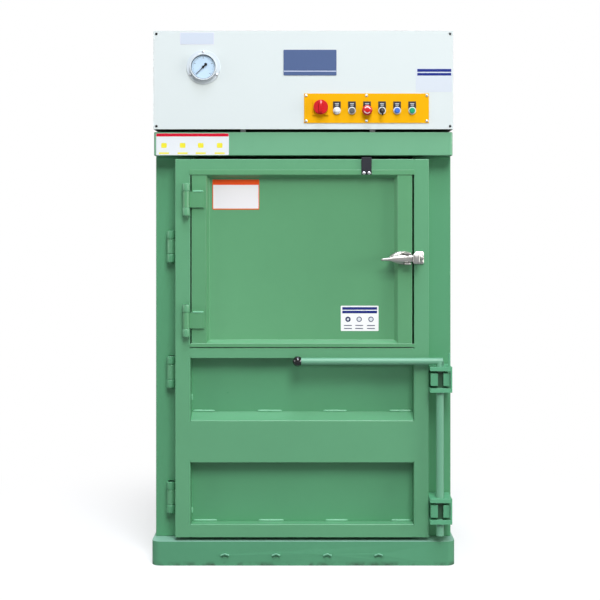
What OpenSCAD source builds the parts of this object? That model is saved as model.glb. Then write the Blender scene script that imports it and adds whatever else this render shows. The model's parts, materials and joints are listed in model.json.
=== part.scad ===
/* [Machine] */
// Width over the base and the hood
machine_w = 1170; // [1100:5:1250]
// Depth over the base and the hood
machine_d = 840; // [780:5:900]
// Height of the hood
hood_h = 384; // [340:1:420]

/* [Base] */
// Height of the base
base_h = 94; // [85:1:105]
// Depth of the front base rail
base_front_d = 182; // [170:1:200]
// Width of the two side base rails
base_side_w = 150; // [145:1:170]
// Width of the middle base rail
base_mid_w = 120; // [90:1:150]
// Plate thickness of the base
base_wall = 8; // [5:1:12]
// Plan radius of the front corners
base_corner_r = 35; // [15:1:50]
// How far the front tray of the base reaches out at each side
base_side_out = 8; // [0:1:12]
// Spacing of the tie hooks on the base front
hook_pitch = 200; // [150:1:230]
// Middle of the tie hooks left of the machine's middle
hook_shift = 6; // [0:1:12]
// Width of one tie hook
hook_w = 34; // [24:1:44]
// Height of the tie hooks above the floor
hook_z = 46; // [30:1:60]
// How far a tie hook stands out
hook_proud = 9; // [5:1:14]

/* [Frame] */
// Column face behind the base front
column_setback = 81; // [75:1:90]
// Width of a front column
column_w = 142; // [130:1:150]
// Depth of a front column
column_d = 100; // [80:1:110]
// Wall of the columns and header
column_wall = 6; // [4:1:8]
// Side of a square rear column
rear_column_w = 80; // [60:1:100]
// Plate thickness of the chamber walls
wall_t = 6; // [5:1:10]
// Rear wall inset from the back of the base
rear_wall_inset = 20; // [15:1:30]
// Plate thickness of the chamber floor
floor_t = 8; // [6:1:12]
// Height of a wall rib
rib_h = 70; // [50:1:90]
// Depth of a side rib
rib_d = 60; // [40:1:62]
// Height of the lowest rib above the floor
rib_z0 = 300; // [250:5:350]
// Spacing of the ribs
rib_pitch = 370; // [340:5:390]
// Underside of the header above the floor
header_z = 1601; // [1595:1:1608]
// Height of the header beam
header_h = 92; // [90:1:98]
// Header face in front of the columns
header_proud = 70; // [20:1:76]
// End radius of the header beam
header_r = 12; // [6:1:20]
// Thickness of the deck plate
deck_t = 15; // [12:1:25]

/* [Hood] */
// Gap between the header and the hood tray
hood_gap = 10; // [4:1:12]
// Sheet thickness of the hood
hood_t = 3; // [2:0.5:4]
// Thickness of the hood's front and rear panels
panel_t = 4; // [3:0.5:5]
// Head radius of the hood's corner screws
panel_screw_r = 4.8; // [3:0.1:7]
// Corner screw centre from the panel edge
panel_screw_edge = 12; // [10:1:16]
// Hole in the tray for the press cylinder
tray_hole_r = 140; // [125:1:160]

/* [Main door] */
// Column shown left of the main door
door_reveal_left = 84; // [78:0.5:90]
// Column shown right of the main door
door_reveal_right = 94; // [90:0.5:100]
// Gap from the base top to the door
door_gap_bottom = 13.5; // [8:0.5:18]
// Gap from the door to the header
door_gap_top = 14; // [12:0.5:18]
// Depth of the main door
door_d = 70; // [64:1:74]
// Gap from the door to the columns
door_gap_back = 2; // [1:0.5:4]
// Width of the hinge stile
stile_left_w = 59; // [54:1:62]
// Width of the lock stile
stile_right_w = 58; // [54:1:62]
// Height of the top rail
top_rail_h = 44; // [40:1:48]
// Underside of the sill rail above the floor
sill_z = 808; // [795:1:820]
// Height of the sill rail
sill_h = 41; // [36:1:46]
// Underside of the belly plate above the floor
belly_z = 400; // [380:1:420]
// Height of the belly's front face
belly_h = 164; // [140:1:180]
// Rise of the belly's sloped top
belly_rise = 29; // [15:1:40]
// Height of the bottom rail
bottom_rail_h = 51.5; // [45:0.5:60]
// Depth of the door's recesses
recess_d = 54; // [45:1:58]
// Thickness of the door skin
skin_t = 8; // [5:1:10]
// Wall of the door's tubes and the belly plate
tube_wall = 5; // [3:0.5:6]

/* [Feed door] */
// Gap at the feed door's hinge side
feed_gap_left = 5; // [4:0.5:7]
// Gap at the feed door's latch side
feed_gap_right = 7; // [5:0.5:9]
// Gap above and below the feed door
feed_gap_z = 3; // [2:0.5:5]
// Width of the flat margin at each side
feed_margin_x = 57; // [52:1:62]
// Height of the flat margin at the top
feed_margin_top = 16; // [12:1:20]
// Height of the flat margin at the bottom
feed_margin_bottom = 15; // [8:1:20]
// Thickness of the feed door's lap strips
lap_t = 3; // [2:0.5:4]
// Overlap of the lap strips onto the door frame
lap_over = 2; // [1:0.5:4]
// Depth of the dished panel
dish_d = 27; // [20:1:35]
// Width of the dish's sloped edge
dish_bevel = 11; // [8:1:20]
// Depth of the feed door's folded edge
feed_d = 34; // [30:1:42]
// Sheet thickness of the feed door
feed_sheet = 5; // [3:0.5:6]
// Feed door face in front of the main door face
feed_proud = 0.5; // [0.4:0.1:1]

/* [Hinges] */
// Radius of a main hinge knuckle
hinge_r = 16.5; // [15:0.1:17.5]
// Radius of a main hinge pin
hinge_pin_r = 9; // [7:0.1:10]
// Length of a main hinge
hinge_l = 125; // [115:1:135]
// Length of the middle knuckle of a main hinge
hinge_mid_l = 57; // [48:1:64]
// Middle of the lowest main hinge above the floor
hinge_z0 = 254.5; // [245:0.5:270]
// Spacing of the main hinges
hinge_pitch = 495; // [480:0.5:505]
// Main hinge axis left of the door edge
hinge_offset = 21.5; // [20.5:0.5:24]
// Radius of a feed hinge knuckle
feed_hinge_r = 13; // [11:0.1:13.8]
// Radius of a feed hinge pin
feed_pin_r = 6.5; // [5:0.1:7.5]
// Length of a feed hinge
feed_hinge_l = 127; // [118:1:135]
// Length of the middle knuckle of a feed hinge
feed_hinge_mid_l = 62; // [54:1:68]
// Middle of the lower feed hinge above the sill's top
feed_hinge_z0 = 107.5; // [95:0.5:120]
// Spacing of the feed hinges
feed_hinge_pitch = 472; // [450:1:490]
// Feed hinge axis left of the feed door's edge
feed_hinge_offset = 20; // [18:0.5:23]
// Reach of a feed hinge leaf onto the feed door
feed_leaf_w = 49; // [40:1:52]
// Thickness of a feed hinge leaf
feed_leaf_t = 8; // [5:1:9]
// Radial running clearance of a pin
pin_clearance = 0.08; // [0.02:0.01:0.1]
// Gap between neighbouring knuckles
knuckle_gap = 0.5; // [0.3:0.1:0.9]

/* [Lock] */
// Radius of the lock rod
rod_r = 15; // [14.5:0.1:17]
// Radius of the lever tube
lever_r = 13.75; // [12:0.05:14.4]
// Lever length from the rod axis to the knob
lever_l = 553.5; // [500:0.5:600]
// Radius of the ball knob
knob_r = 20; // [17:0.5:22]
// Rod axis right of the door edge
rod_offset = 40.5; // [38:0.5:44]
// Rod axis in front of the door face
rod_front = 24; // [22.5:0.5:28]
// Lever axis above the floor
lever_z = 799; // [794:1:806]
// Lower end of the rod above the floor
rod_z0 = 122; // [112:1:135]
// Thickness of a lock ear
ear_t = 16; // [12:1:18]
// Ear reach right of the door edge
ear_w = 85; // [80:1:90]
// Ear edge in front of the rod axis
ear_front = 27; // [24:1:32]
// Clear height between a pair of ears
ear_space = 67; // [62:1:70]
// Middle of the lower ear pair above the floor
ear_low_z = 220; // [205:1:232]
// Middle of the upper ear pair above the floor
ear_high_z = 730; // [722:1:734]
// Radius of the cam turned on the rod
cam_r = 14; // [12.5:0.1:14.3]
// Thickness of the cam across its flats
cam_t = 16; // [13:0.5:18]
// Mouth of a lock keeper
keeper_mouth = 21; // [19.5:0.5:23]
// Height of a lock keeper
keeper_h = 48; // [40:1:54]
// Width of a lock keeper
keeper_w = 73; // [68:1:74]
// Keeper face in front of the rod axis
keeper_front = 22; // [18:1:24]
// Height of the lever's stop tab
stop_tab_h = 53; // [40:1:60]

/* [Latch] */
// Middle of the latch above the sill's top
latch_z0 = 349.5; // [320:0.5:380]
// Height of the latch body
latch_h = 49; // [40:1:56]
// Width of the latch body
latch_w = 79; // [70:1:84]
// Latch pivot left of the feed door's edge
latch_pivot_offset = 21; // [20:0.5:24]
// Latch pivot in front of the feed door face
latch_pivot_front = 29; // [28:0.5:33]
// Radius of the latch pivot pin
latch_pin_r = 4; // [3:0.1:5]
// Radius of the handle's hub
latch_hub_r = 9; // [7.5:0.1:10]
// Handle reach left of the pivot
latch_handle_l = 102; // [85:1:110]
// Tongue reach right of the pivot
latch_tongue_l = 23; // [21.5:0.5:23.5]
// Thickness of the tongue
latch_tongue_t = 12; // [8:0.5:13]
// Width of the latch keeper's foot
latch_keeper_w = 36; // [30:1:40]

/* [Interlock strap] */
// Width of the interlock strap
strap_w = 40; // [30:1:50]
// Thickness of the interlock strap
strap_t = 5; // [3:0.5:6]
// Strap middle from the main door's right edge
strap_edge = 244; // [220:1:270]
// Depth of the strap's bent end
strap_tongue = 26; // [18:1:32]
// Radius of a strap rivet's head
rivet_r = 6.5; // [5:0.1:7]

/* [Controls] */
// Control plate's right edge from the panel's right edge
plate_edge = 95; // [88:1:105]
// Width of the control plate
plate_w = 487; // [478:1:495]
// Underside of the control plate above the hood's lower edge
plate_up = 24; // [18:1:30]
// Height of the control plate
plate_h = 115; // [110:1:125]
// Thickness of the control plate
plate_t = 2.5; // [1.5:0.5:4]
// Height of the button row above the plate's underside
button_row = 48; // [44:1:52]
// First control of the row from the plate's left edge
button_edge = 128; // [122:1:134]
// Spacing of the controls
button_pitch = 58.7; // [56:0.1:61]
// Radius of a push button
button_r = 10.8; // [9.5:0.1:11.5]
// Radial clearance round a push button
button_clearance = 0.4; // [0.3:0.1:0.8]
// Radius of a button bezel
bezel_r = 15; // [13.5:0.1:16]
// How far a bezel stands out
bezel_h = 5; // [3:0.5:7]
// Width of a legend tag
tag_w = 30; // [28:0.5:34]
// Height of a legend tag above the button axis
tag_up = 36; // [30:1:42]
// Thickness of a legend tag
tag_t = 1.5; // [1:0.25:2.5]
// Travel of a push button
button_travel = 4; // [3:0.5:4.5]
// Radius of the stop mushroom
mushroom_r = 20; // [17:0.5:22]
// Travel of the stop mushroom
mushroom_travel = 5; // [4:0.5:6]
// Main switch from the plate's left edge
main_switch_edge = 65; // [60:1:70]
// Height of the main switch above the plate's underside
main_switch_up = 61; // [57:1:65]
// Radius of the main switch knob
main_knob_r = 28.5; // [25:0.5:30]
// Side of the main switch's square collar
main_collar_w = 61; // [59:0.5:66]
// Height of the main switch collar
main_collar_h = 7; // [5:0.5:10]
// Head radius of the plate screws
screw_r = 5.5; // [4:0.1:6.5]

/* [Gauge] */
// Gauge axis from the panel's left edge
gauge_edge = 195.4; // [180:0.2:210]
// Gauge axis below the hood's top
gauge_drop = 142.5; // [120:0.5:165]
// Radius of the gauge flange
gauge_flange_r = 66; // [62:0.5:70]
// Radius of the gauge bezel
gauge_bezel_r = 52; // [50.5:0.5:55]
// Radius of the gauge dial
gauge_dial_r = 47; // [44:0.5:48.5]
// How far the gauge bezel stands out of its flange
gauge_bezel_h = 15; // [12:0.5:20]
// Depth of the gauge case behind the panel
gauge_case_d = 45; // [35:1:60]

/* [Press] */
// Height of the raised platen above the floor
platen_z = 1552; // [1549:1:1554]
// Thickness of the platen plate
platen_t = 14; // [12:1:15]
// Height of the platen's ribs
platen_rib_h = 24; // [15:1:26]
// Gap between the platen and the chamber
platen_gap = 8; // [6:1:12]
// Outer radius of the press cylinder
barrel_r = 80; // [77:1:88]
// Wall of the cylinder and of each ram stage
stage_wall = 14.7; // [13:0.1:16]
// Radial clearance between ram stages
stage_clearance = 0.3; // [0.2:0.1:0.5]
// Gap between the press cylinder and the hood's top
barrel_gap = 17; // [10:1:30]
// Full stroke of the platen
press_stroke = 850; // [700:10:900]

/* [Hidden] */
$fn = 48;

// Colours as painted or finished
door_green = [0.40, 0.66, 0.50];
frame_green = [0.36, 0.61, 0.46];
header_green = [0.48, 0.71, 0.57];
hood_white = [0.89, 0.93, 0.94];
panel_yellow = [0.96, 0.74, 0.10];
signal_red = [0.84, 0.02, 0.08];
bare_steel = [0.62, 0.63, 0.64];
dark_steel = [0.30, 0.31, 0.31];
black = [0.05, 0.05, 0.05];

// A cut runs this far past the face it opens
eps = 1;
// Two solids of one welded node stay this far apart
weld_gap = 1;

// Frame planes
front_y = -machine_d / 2;
back_y = machine_d / 2;
side_x = machine_w / 2;
base_front_w = machine_w + 2 * base_side_out;
column_y = front_y + column_setback;
column_back_y = column_y + column_d;
wall_out_x = side_x - column_w;
wall_in_x = wall_out_x - wall_t;
rear_wall_y = back_y - rear_wall_inset - wall_t;
rear_column_y = back_y - rear_column_w;
rear_column_x = side_x - rear_column_w;
floor_z = base_h + floor_t;
header_top = header_z + header_h;
deck_top = header_z + deck_t;
base_front_back_y = front_y + base_front_d;
rib_count = 4;
hook_count = 4;
hook_t = 4;
hook_slant = 20;

// Hood planes
tray_z = header_top + hood_gap;
machine_h = tray_z + hood_h;
tray_top = tray_z + hood_t;
panel_back_y = front_y + panel_t;
rear_panel_y = back_y - panel_t;
screw_head_h = 3;
slot_count = 8;
slot_w = 8;
slot_l = 120;
slot_pitch = 26;
gland_x = side_x - 185;
gland_z = tray_top + 75;
gland_bore_r = 8;
gland_body_r = 17;
gland_thread_r = 12;
gland_body_l = 28;
gland_tail_l = 10;
foot_w = 20;
foot_l = 40;
foot_inset = 12;
foot_x_left = side_x - 348;
foot_x_right = side_x - 313;

// Main door planes
door_x0 = -side_x + door_reveal_left;
door_x1 = side_x - door_reveal_right;
door_back_y = column_y - door_gap_back;
door_y = door_back_y - door_d;
door_z0 = base_h + door_gap_bottom;
door_z1 = header_z - door_gap_top;
opening_x0 = door_x0 + stile_left_w;
opening_x1 = door_x1 - stile_right_w;
sill_top = sill_z + sill_h;
opening_top = door_z1 - top_rail_h;
recess_y = door_y + recess_d;

// Feed door planes
feed_x0 = opening_x0 + feed_gap_left;
feed_x1 = opening_x1 - feed_gap_right;
feed_z0 = sill_top + feed_gap_z;
feed_z1 = opening_top - feed_gap_z;
feed_y = door_y - feed_proud;
feed_back_y = feed_y + feed_d;
lap_y = feed_y - lap_t;
lap_edge = 1.5;

// Hinge places
hinge_x = door_x0 - hinge_offset;
hinge_y = column_y - hinge_r - 3;
hinge_count = 3;
hinge_end_l = (hinge_l - hinge_mid_l) / 2 - knuckle_gap;
hinge_leaf_t = 16;
feed_hinge_x = feed_x0 - feed_hinge_offset;
feed_hinge_y = door_y - feed_hinge_r - 1.5;
feed_hinge_zs = [for (i = [0, 1]) sill_top + feed_hinge_z0 + i * feed_hinge_pitch];
feed_end_l = (feed_hinge_l - feed_hinge_mid_l) / 2 - knuckle_gap;
pin_tail = 5;

// Lock places
rod_x = door_x1 + rod_offset;
rod_y = door_y - rod_front;
ear_zs = [ear_low_z, ear_high_z];
ear_back_gap = 6;
ear_web_t = 7;
ear_web_d = 22;
rod_fit = 0.3;
cam_fit = 0.5;
keeper_wall = 9;
keeper_x0 = door_x1 + 3;
knob_x = rod_x - lever_l;
lever_tail = 10.8;
stop_tab_t = 8;
stop_tab_d = 12;

// Strap and latch places
strap_x = door_x1 - strap_edge;
latch_z = sill_top + latch_z0;
latch_x = feed_x1 - latch_pivot_offset;
latch_y = feed_y - latch_pivot_front;
latch_foot_t = 4;
latch_ear_t = 8;
latch_fit = 0.5;
latch_lip_t = 6;
latch_lip_gap = 4;
latch_lip_reach = 4;
latch_keeper_web = 8;

// Control places
plate_x0 = side_x - plate_edge - plate_w;
button_x0 = plate_x0 + button_edge;
main_switch_x = plate_x0 + main_switch_edge;
plate_z0 = tray_z + plate_up;
plate_y = front_y - plate_t;
tag_y = plate_y - tag_t;
bezel_y = tag_y - bezel_h;
button_z = plate_z0 + button_row;
button_hole_r = button_r + button_clearance;
button_back_y = front_y + 25;
button_xs = [for (i = [0:5]) button_x0 + i * button_pitch];
lamp_x = button_xs[0];
grey_x = button_xs[1];
estop_x = button_xs[2];
key_x = button_xs[3];
blue_x = button_xs[4];
green_x = button_xs[5];
button_proud = button_travel + 1;
main_switch_z = plate_z0 + main_switch_up;
main_shaft_r = 6;
main_knob_h = 22;
main_collar_y = plate_y - main_collar_h;
screw_edge = 8;

// Gauge planes
gauge_x = side_x - gauge_edge;
gauge_z = machine_h - gauge_drop;
flange_t = 3;
flange_y = front_y - flange_t;
gauge_front_y = flange_y - gauge_bezel_h;
glass_t = 2;
glass_inset = 1.5;
dial_t = 1.5;
dial_depth = 8;
gauge_case_r = 50;
gauge_fit = 0.2;
pointer_shaft_r = 1.5;
pointer_t = 1;
pointer_angle = -135;
gauge_screw_ring = 59;

// Press places
barrel_top = machine_h - barrel_gap;
barrel_in_r = barrel_r - stage_wall;
stage_a_r = barrel_in_r - stage_clearance;
stage_a_in_r = stage_a_r - stage_wall;
stage_b_r = stage_a_in_r - stage_clearance;
stage_b_in_r = stage_b_r - stage_wall;
plunger_r = stage_b_in_r - stage_clearance;
barrel_cap_t = 15;
barrel_flange_r = 120;
barrel_flange_t = 25;
barrel_bolt_ring = 101;
plunger_flange_t = 12;
plunger_flange_r = 55;
stage_step = 9;
stage_head_gap = 5;
platen_top = platen_z + platen_t;
platen_x = wall_in_x - platen_gap;
platen_y0 = door_back_y + platen_gap;
platen_y1 = rear_wall_y - platen_gap;
barrel_y = (platen_y0 + platen_y1) / 2;
guide_gap = 0.5;
guide_l = 110;
guide_h = 36;
tank_w = 340;
tank_d = 480;
tank_h = 194;
tank_x0 = -side_x + 45;
motor_r = 88;
motor_l = 290;
motor_x0 = side_x - 415;
motor_y = back_y - 190;
pump_r = 60;
pump_l = 80;
valve_w = 100;
valve_h = 110;
pipe_r = 9;
pipe_fit = 0.3;
box_w = 410;
box_d = 120;
box_h = 174;
box_x0 = side_x - 525;
box_y0 = front_y + 80;
case_wall = 3;

// Box between two corners
module bar(x0, x1, y0, y1, z0, z1) {
    translate([x0, y0, z0])
        cube([x1 - x0, y1 - y0, z1 - z0]);
}

// Rectangular tubes, open at both ends, along each axis
module tube_x(x0, x1, y0, y1, z0, z1, t) {
    difference() {
        bar(x0, x1, y0, y1, z0, z1);
        bar(x0 - eps, x1 + eps, y0 + t, y1 - t, z0 + t, z1 - t);
    }
}
module tube_y(x0, x1, y0, y1, z0, z1, t) {
    difference() {
        bar(x0, x1, y0, y1, z0, z1);
        bar(x0 + t, x1 - t, y0 - eps, y1 + eps, z0 + t, z1 - t);
    }
}
module tube_z(x0, x1, y0, y1, z0, z1, t) {
    difference() {
        bar(x0, x1, y0, y1, z0, z1);
        bar(x0 + t, x1 - t, y0 + t, y1 - t, z0 - eps, z1 + eps);
    }
}

// Round bars along each axis, from a start to an end
module round_x(x0, x1, y, z, r) {
    translate([x0, y, z]) rotate([0, 90, 0]) cylinder(h = x1 - x0, r = r);
}
module round_y(x, y0, y1, z, r) {
    translate([x, y0, z]) rotate([-90, 0, 0]) cylinder(h = y1 - y0, r = r);
}
module round_z(x, y, z0, z1, r) {
    translate([x, y, z0]) cylinder(h = z1 - z0, r = r);
}

// The same piece on the left and on the right of the machine
module both_sides() {
    children();
    mirror([1, 0, 0]) children();
}

// Plan outline with its two front corners rounded
module front_rounded(w, d, r) {
    translate([-w / 2, r]) square([w, d - r]);
    translate([-w / 2 + r, 0]) square([w - 2 * r, r + eps]);
    for (s = [-1, 1])
        translate([s * (w / 2 - r), r]) circle(r);
}

// Base: an inverted plate tray across the front, with pressed tie hooks
module base_front_rail() {
    color(frame_green) {
        difference() {
            translate([0, front_y, 0])
                linear_extrude(base_h)
                    front_rounded(base_front_w, base_front_d, base_corner_r);
            translate([0, front_y + base_wall, -eps])
                linear_extrude(base_h - base_wall + eps)
                    front_rounded(base_front_w - 2 * base_wall, base_front_d - 2 * base_wall,
                        base_corner_r - base_wall);
        }
        for (i = [0:hook_count - 1])
            translate([(i - (hook_count - 1) / 2) * hook_pitch - hook_shift, front_y, hook_z])
                tie_hook();
    }
}
module tie_hook() {
    for (s = [-1, 1])
        rotate([0, s * hook_slant, 0])
            translate([s < 0 ? -hook_w / 2 : 0, -hook_proud, -hook_t / 2])
                cube([hook_w / 2, hook_proud + base_wall / 2, hook_t]);
}
module base_side_rails() {
    color(frame_green) {
        both_sides()
            tube_y(side_x - base_side_w, side_x, base_front_back_y, back_y, 0, base_h, base_wall);
        tube_y(-base_mid_w / 2, base_mid_w / 2, base_front_back_y, back_y, 0, base_h, base_wall);
    }
}
module floor_plate() {
    color(bare_steel)
        bar(-wall_in_x, wall_in_x, column_y + 2, rear_wall_y, base_h, floor_z);
}

// Frame: tube columns, chamber plates and their ribs
module front_columns() {
    color(frame_green)
        both_sides()
            tube_z(wall_out_x, side_x, column_y, column_back_y, base_h, header_z, column_wall);
}
module rear_columns() {
    color(frame_green)
        both_sides()
            tube_z(rear_column_x, side_x, rear_column_y, back_y, base_h, header_z, column_wall);
}
module side_walls() {
    color(bare_steel)
        both_sides()
            bar(wall_in_x, wall_out_x, column_y + 2, rear_wall_y, base_h, header_z);
}
module rear_wall() {
    color(frame_green)
        bar(-wall_out_x, wall_out_x, rear_wall_y, rear_wall_y + wall_t, base_h, header_z);
}
module wall_ribs() {
    color(frame_green)
        for (i = [0:rib_count - 1]) {
            z = rib_z0 + i * rib_pitch;
            both_sides()
                tube_y(wall_out_x, wall_out_x + rib_d, column_back_y, rear_column_y,
                    z - rib_h, z, column_wall);
            bar(-rear_column_x, rear_column_x, rear_wall_y + wall_t, back_y, z - rib_h, z);
        }
}

// Top of the frame: folded header beam, rails and the cylinder's deck
module header_beam() {
    header_d = column_d + header_proud;
    color(header_green)
        difference() {
            translate([0, column_y - header_proud, header_z])
                linear_extrude(header_h)
                    front_rounded(machine_w, header_d, header_r);
            bar(-side_x + column_wall, side_x - column_wall, column_y - header_proud + column_wall,
                column_back_y + eps, header_z + column_wall, header_top - column_wall);
        }
}
module top_rails() {
    color(frame_green) {
        both_sides()
            tube_y(rear_column_x, side_x, column_back_y, rear_column_y - weld_gap, deck_top,
                header_top, column_wall);
        tube_x(-side_x, side_x, rear_column_y, back_y, deck_top, header_top, column_wall);
    }
}
module top_deck() {
    color(frame_green)
        difference() {
            bar(-side_x, side_x, column_back_y, back_y, header_z, deck_top);
            round_z(0, barrel_y, header_z - eps, deck_top + eps, barrel_r + eps);
        }
}

// Hood: a tray on feet, a folded cover and two flat panels
module power_tray() {
    color(hood_white) {
        difference() {
            bar(-side_x, side_x, panel_back_y, rear_panel_y, tray_z, tray_top);
            round_z(0, barrel_y, tray_z - eps, tray_top + eps, tray_hole_r);
        }
        for (x = [-foot_x_left, foot_x_right])
            bar(x - foot_w / 2, x + foot_w / 2, column_y - header_proud + foot_inset,
                column_y - header_proud + foot_inset + foot_l, header_top, tray_z);
        for (x = [-foot_x_left, foot_x_right])
            bar(x - foot_w / 2, x + foot_w / 2, rear_column_y + foot_inset,
                rear_column_y + foot_inset + foot_l, header_top, tray_z);
    }
}
module front_panel() {
    color(hood_white)
        difference() {
            bar(-side_x, side_x, front_y, panel_back_y, tray_z, machine_h);
            for (x = button_xs)
                round_y(x, front_y - eps, panel_back_y + eps, button_z, button_hole_r);
            round_y(main_switch_x, front_y - eps, panel_back_y + eps, main_switch_z,
                main_shaft_r + button_clearance);
            round_y(-gauge_x, front_y - eps, panel_back_y + eps, gauge_z, gauge_case_r + gauge_fit);
        }
}
module hood_cover() {
    color(hood_white) {
        both_sides()
            bar(side_x - hood_t, side_x, panel_back_y, rear_panel_y, tray_top, machine_h);
        bar(-side_x, side_x, panel_back_y, rear_panel_y, machine_h - hood_t, machine_h);
    }
}
module rear_cover() {
    color(hood_white)
        difference() {
            bar(-side_x, side_x, rear_panel_y, back_y, tray_z, machine_h);
            for (i = [0:slot_count - 1], x = [-1.5 * slot_l, 0.5 * slot_l])
                bar(x, x + slot_l, rear_panel_y - eps, back_y + eps,
                    tray_top + 90 + i * slot_pitch, tray_top + 90 + i * slot_pitch + slot_w);
            round_y(gland_x, rear_panel_y - eps, back_y + eps, gland_z, gland_thread_r);
        }
}
module panel_screws() {
    color(black)
        for (x = [-side_x + panel_screw_edge, side_x - panel_screw_edge],
             z = [tray_z + panel_screw_edge, machine_h - panel_screw_edge])
            round_y(x, front_y - screw_head_h, front_y, z, panel_screw_r);
}
module cable_gland() {
    color(black)
        difference() {
            union() {
                round_y(gland_x, back_y, back_y + gland_body_l, gland_z, gland_body_r);
                round_y(gland_x, rear_panel_y - gland_tail_l, back_y, gland_z, gland_thread_r);
            }
            round_y(gland_x, rear_panel_y - gland_tail_l - eps, back_y + gland_body_l + eps,
                gland_z, gland_bore_r);
        }
}

// Control plate and what stands on it
module control_plate() {
    color(panel_yellow)
        difference() {
            union() {
                bar(plate_x0, plate_x0 + plate_w, plate_y, front_y, plate_z0, plate_z0 + plate_h);
                bar(main_switch_x - main_collar_w / 2, main_switch_x + main_collar_w / 2, main_collar_y,
                    plate_y, main_switch_z - main_collar_w / 2, main_switch_z + main_collar_w / 2);
            }
            for (x = button_xs)
                round_y(x, plate_y - eps, front_y + eps, button_z, button_hole_r);
            round_y(main_switch_x, main_collar_y - eps, front_y + eps, main_switch_z,
                main_shaft_r + button_clearance);
        }
}
module cover_screws() {
    color(bare_steel) {
        for (i = [0:2], z = [plate_z0 + screw_edge, plate_z0 + plate_h - screw_edge])
            round_y(plate_x0 + screw_edge + i * (plate_w - 2 * screw_edge) / 2,
                plate_y - screw_head_h, plate_y, z, screw_r);
        for (a = [90, 210, 330])
            round_y(-gauge_x + gauge_screw_ring * cos(a), flange_y - screw_head_h, flange_y,
                gauge_z + gauge_screw_ring * sin(a), screw_r);
    }
}
module legend_plates() {
    color(black)
        for (x = button_xs)
            difference() {
                union() {
                    bar(x - tag_w / 2, x + tag_w / 2, tag_y, plate_y, button_z, button_z + tag_up);
                    round_y(x, tag_y, plate_y, button_z, tag_w / 2);
                }
                round_y(x, tag_y - eps, plate_y + eps, button_z, button_hole_r);
            }
}
module switch_bezels() {
    color(hood_white) {
        for (x = button_xs)
            difference() {
                round_y(x, bezel_y, tag_y, button_z, bezel_r);
                if (x != lamp_x)
                    round_y(x, bezel_y - eps, tag_y + eps, button_z, button_hole_r);
            }
        round_y(lamp_x, bezel_y - button_proud, bezel_y, button_z, button_r);
    }
}
module push_button(x, shade) {
    color(shade)
        round_y(x, bezel_y - button_proud, button_back_y, button_z, button_r);
}
module grey_button() {
    push_button(grey_x, [0.45, 0.46, 0.48]);
}
module blue_button() {
    push_button(blue_x, [0.05, 0.22, 0.65]);
}
module green_button() {
    push_button(green_x, [0.05, 0.55, 0.22]);
}
module estop_stem() {
    color(bare_steel)
        round_y(estop_x, bezel_y - mushroom_travel - 2, button_back_y, button_z, button_r);
}
module estop_head() {
    head_y = bezel_y - mushroom_travel - 2;
    color(signal_red) {
        round_y(estop_x, head_y - 9, head_y, button_z, mushroom_r);
        round_y(estop_x, head_y - 15, head_y - 9, button_z, mushroom_r - 4);
    }
}
module key_switch() {
    key_y = bezel_y - 2;
    color(black) {
        round_y(key_x, key_y, button_back_y, button_z, button_r);
        bar(key_x - 1.5, key_x + 1.5, key_y - 12, key_y, button_z - 6, button_z + 6);
        bar(key_x - 1.5, key_x + 1.5, key_y - 34, key_y - 12, button_z - 12, button_z + 12);
    }
}
module main_switch_knob() {
    grip_w = 17;
    knob_y = main_collar_y - 1;
    color(signal_red) {
        round_y(main_switch_x, knob_y - main_knob_h / 2, knob_y, main_switch_z, main_knob_r);
        bar(main_switch_x - grip_w / 2, main_switch_x + grip_w / 2, knob_y - main_knob_h,
            knob_y - main_knob_h / 2, main_switch_z - main_knob_r + 4, main_switch_z + main_knob_r - 4);
        round_y(main_switch_x, knob_y, button_back_y, main_switch_z, main_shaft_r);
    }
}

// Pressure gauge: flanged case, dial, pointer and glass
module gauge_case() {
    color(hood_white)
        difference() {
            union() {
                round_y(-gauge_x, front_y, front_y + gauge_case_d, gauge_z, gauge_case_r);
                round_y(-gauge_x, flange_y, front_y, gauge_z, gauge_flange_r);
                round_y(-gauge_x, gauge_front_y, flange_y, gauge_z, gauge_bezel_r);
            }
            round_y(-gauge_x, gauge_front_y - eps, gauge_front_y + dial_depth + dial_t, gauge_z,
                gauge_dial_r + gauge_fit);
        }
}
module gauge_dial() {
    color([0.93, 0.95, 0.97])
        difference() {
            round_y(-gauge_x, gauge_front_y + dial_depth, gauge_front_y + dial_depth + dial_t,
                gauge_z, gauge_dial_r);
            round_y(-gauge_x, gauge_front_y, gauge_front_y + dial_depth + dial_t + eps, gauge_z,
                pointer_shaft_r + pin_clearance);
        }
}
module gauge_glass() {
    color([0.80, 0.90, 0.95, 0.35])
        round_y(-gauge_x, gauge_front_y + glass_inset, gauge_front_y + glass_inset + glass_t,
            gauge_z, gauge_dial_r);
}
module gauge_pointer() {
    pointer_y = gauge_front_y + glass_inset + glass_t + 1.5;
    color(black)
        translate([-gauge_x, 0, gauge_z])
            rotate([0, pointer_angle, 0]) {
                bar(-1.2, 1.2, pointer_y, pointer_y + pointer_t, 0, gauge_dial_r - 8);
                bar(-2.5, 2.5, pointer_y, pointer_y + pointer_t, -16, 0);
                round_y(0, pointer_y, pointer_y + pointer_t, 0, 5);
                round_y(0, pointer_y + pointer_t, gauge_front_y + dial_depth + dial_t, 0,
                    pointer_shaft_r);
            }
}

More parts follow.
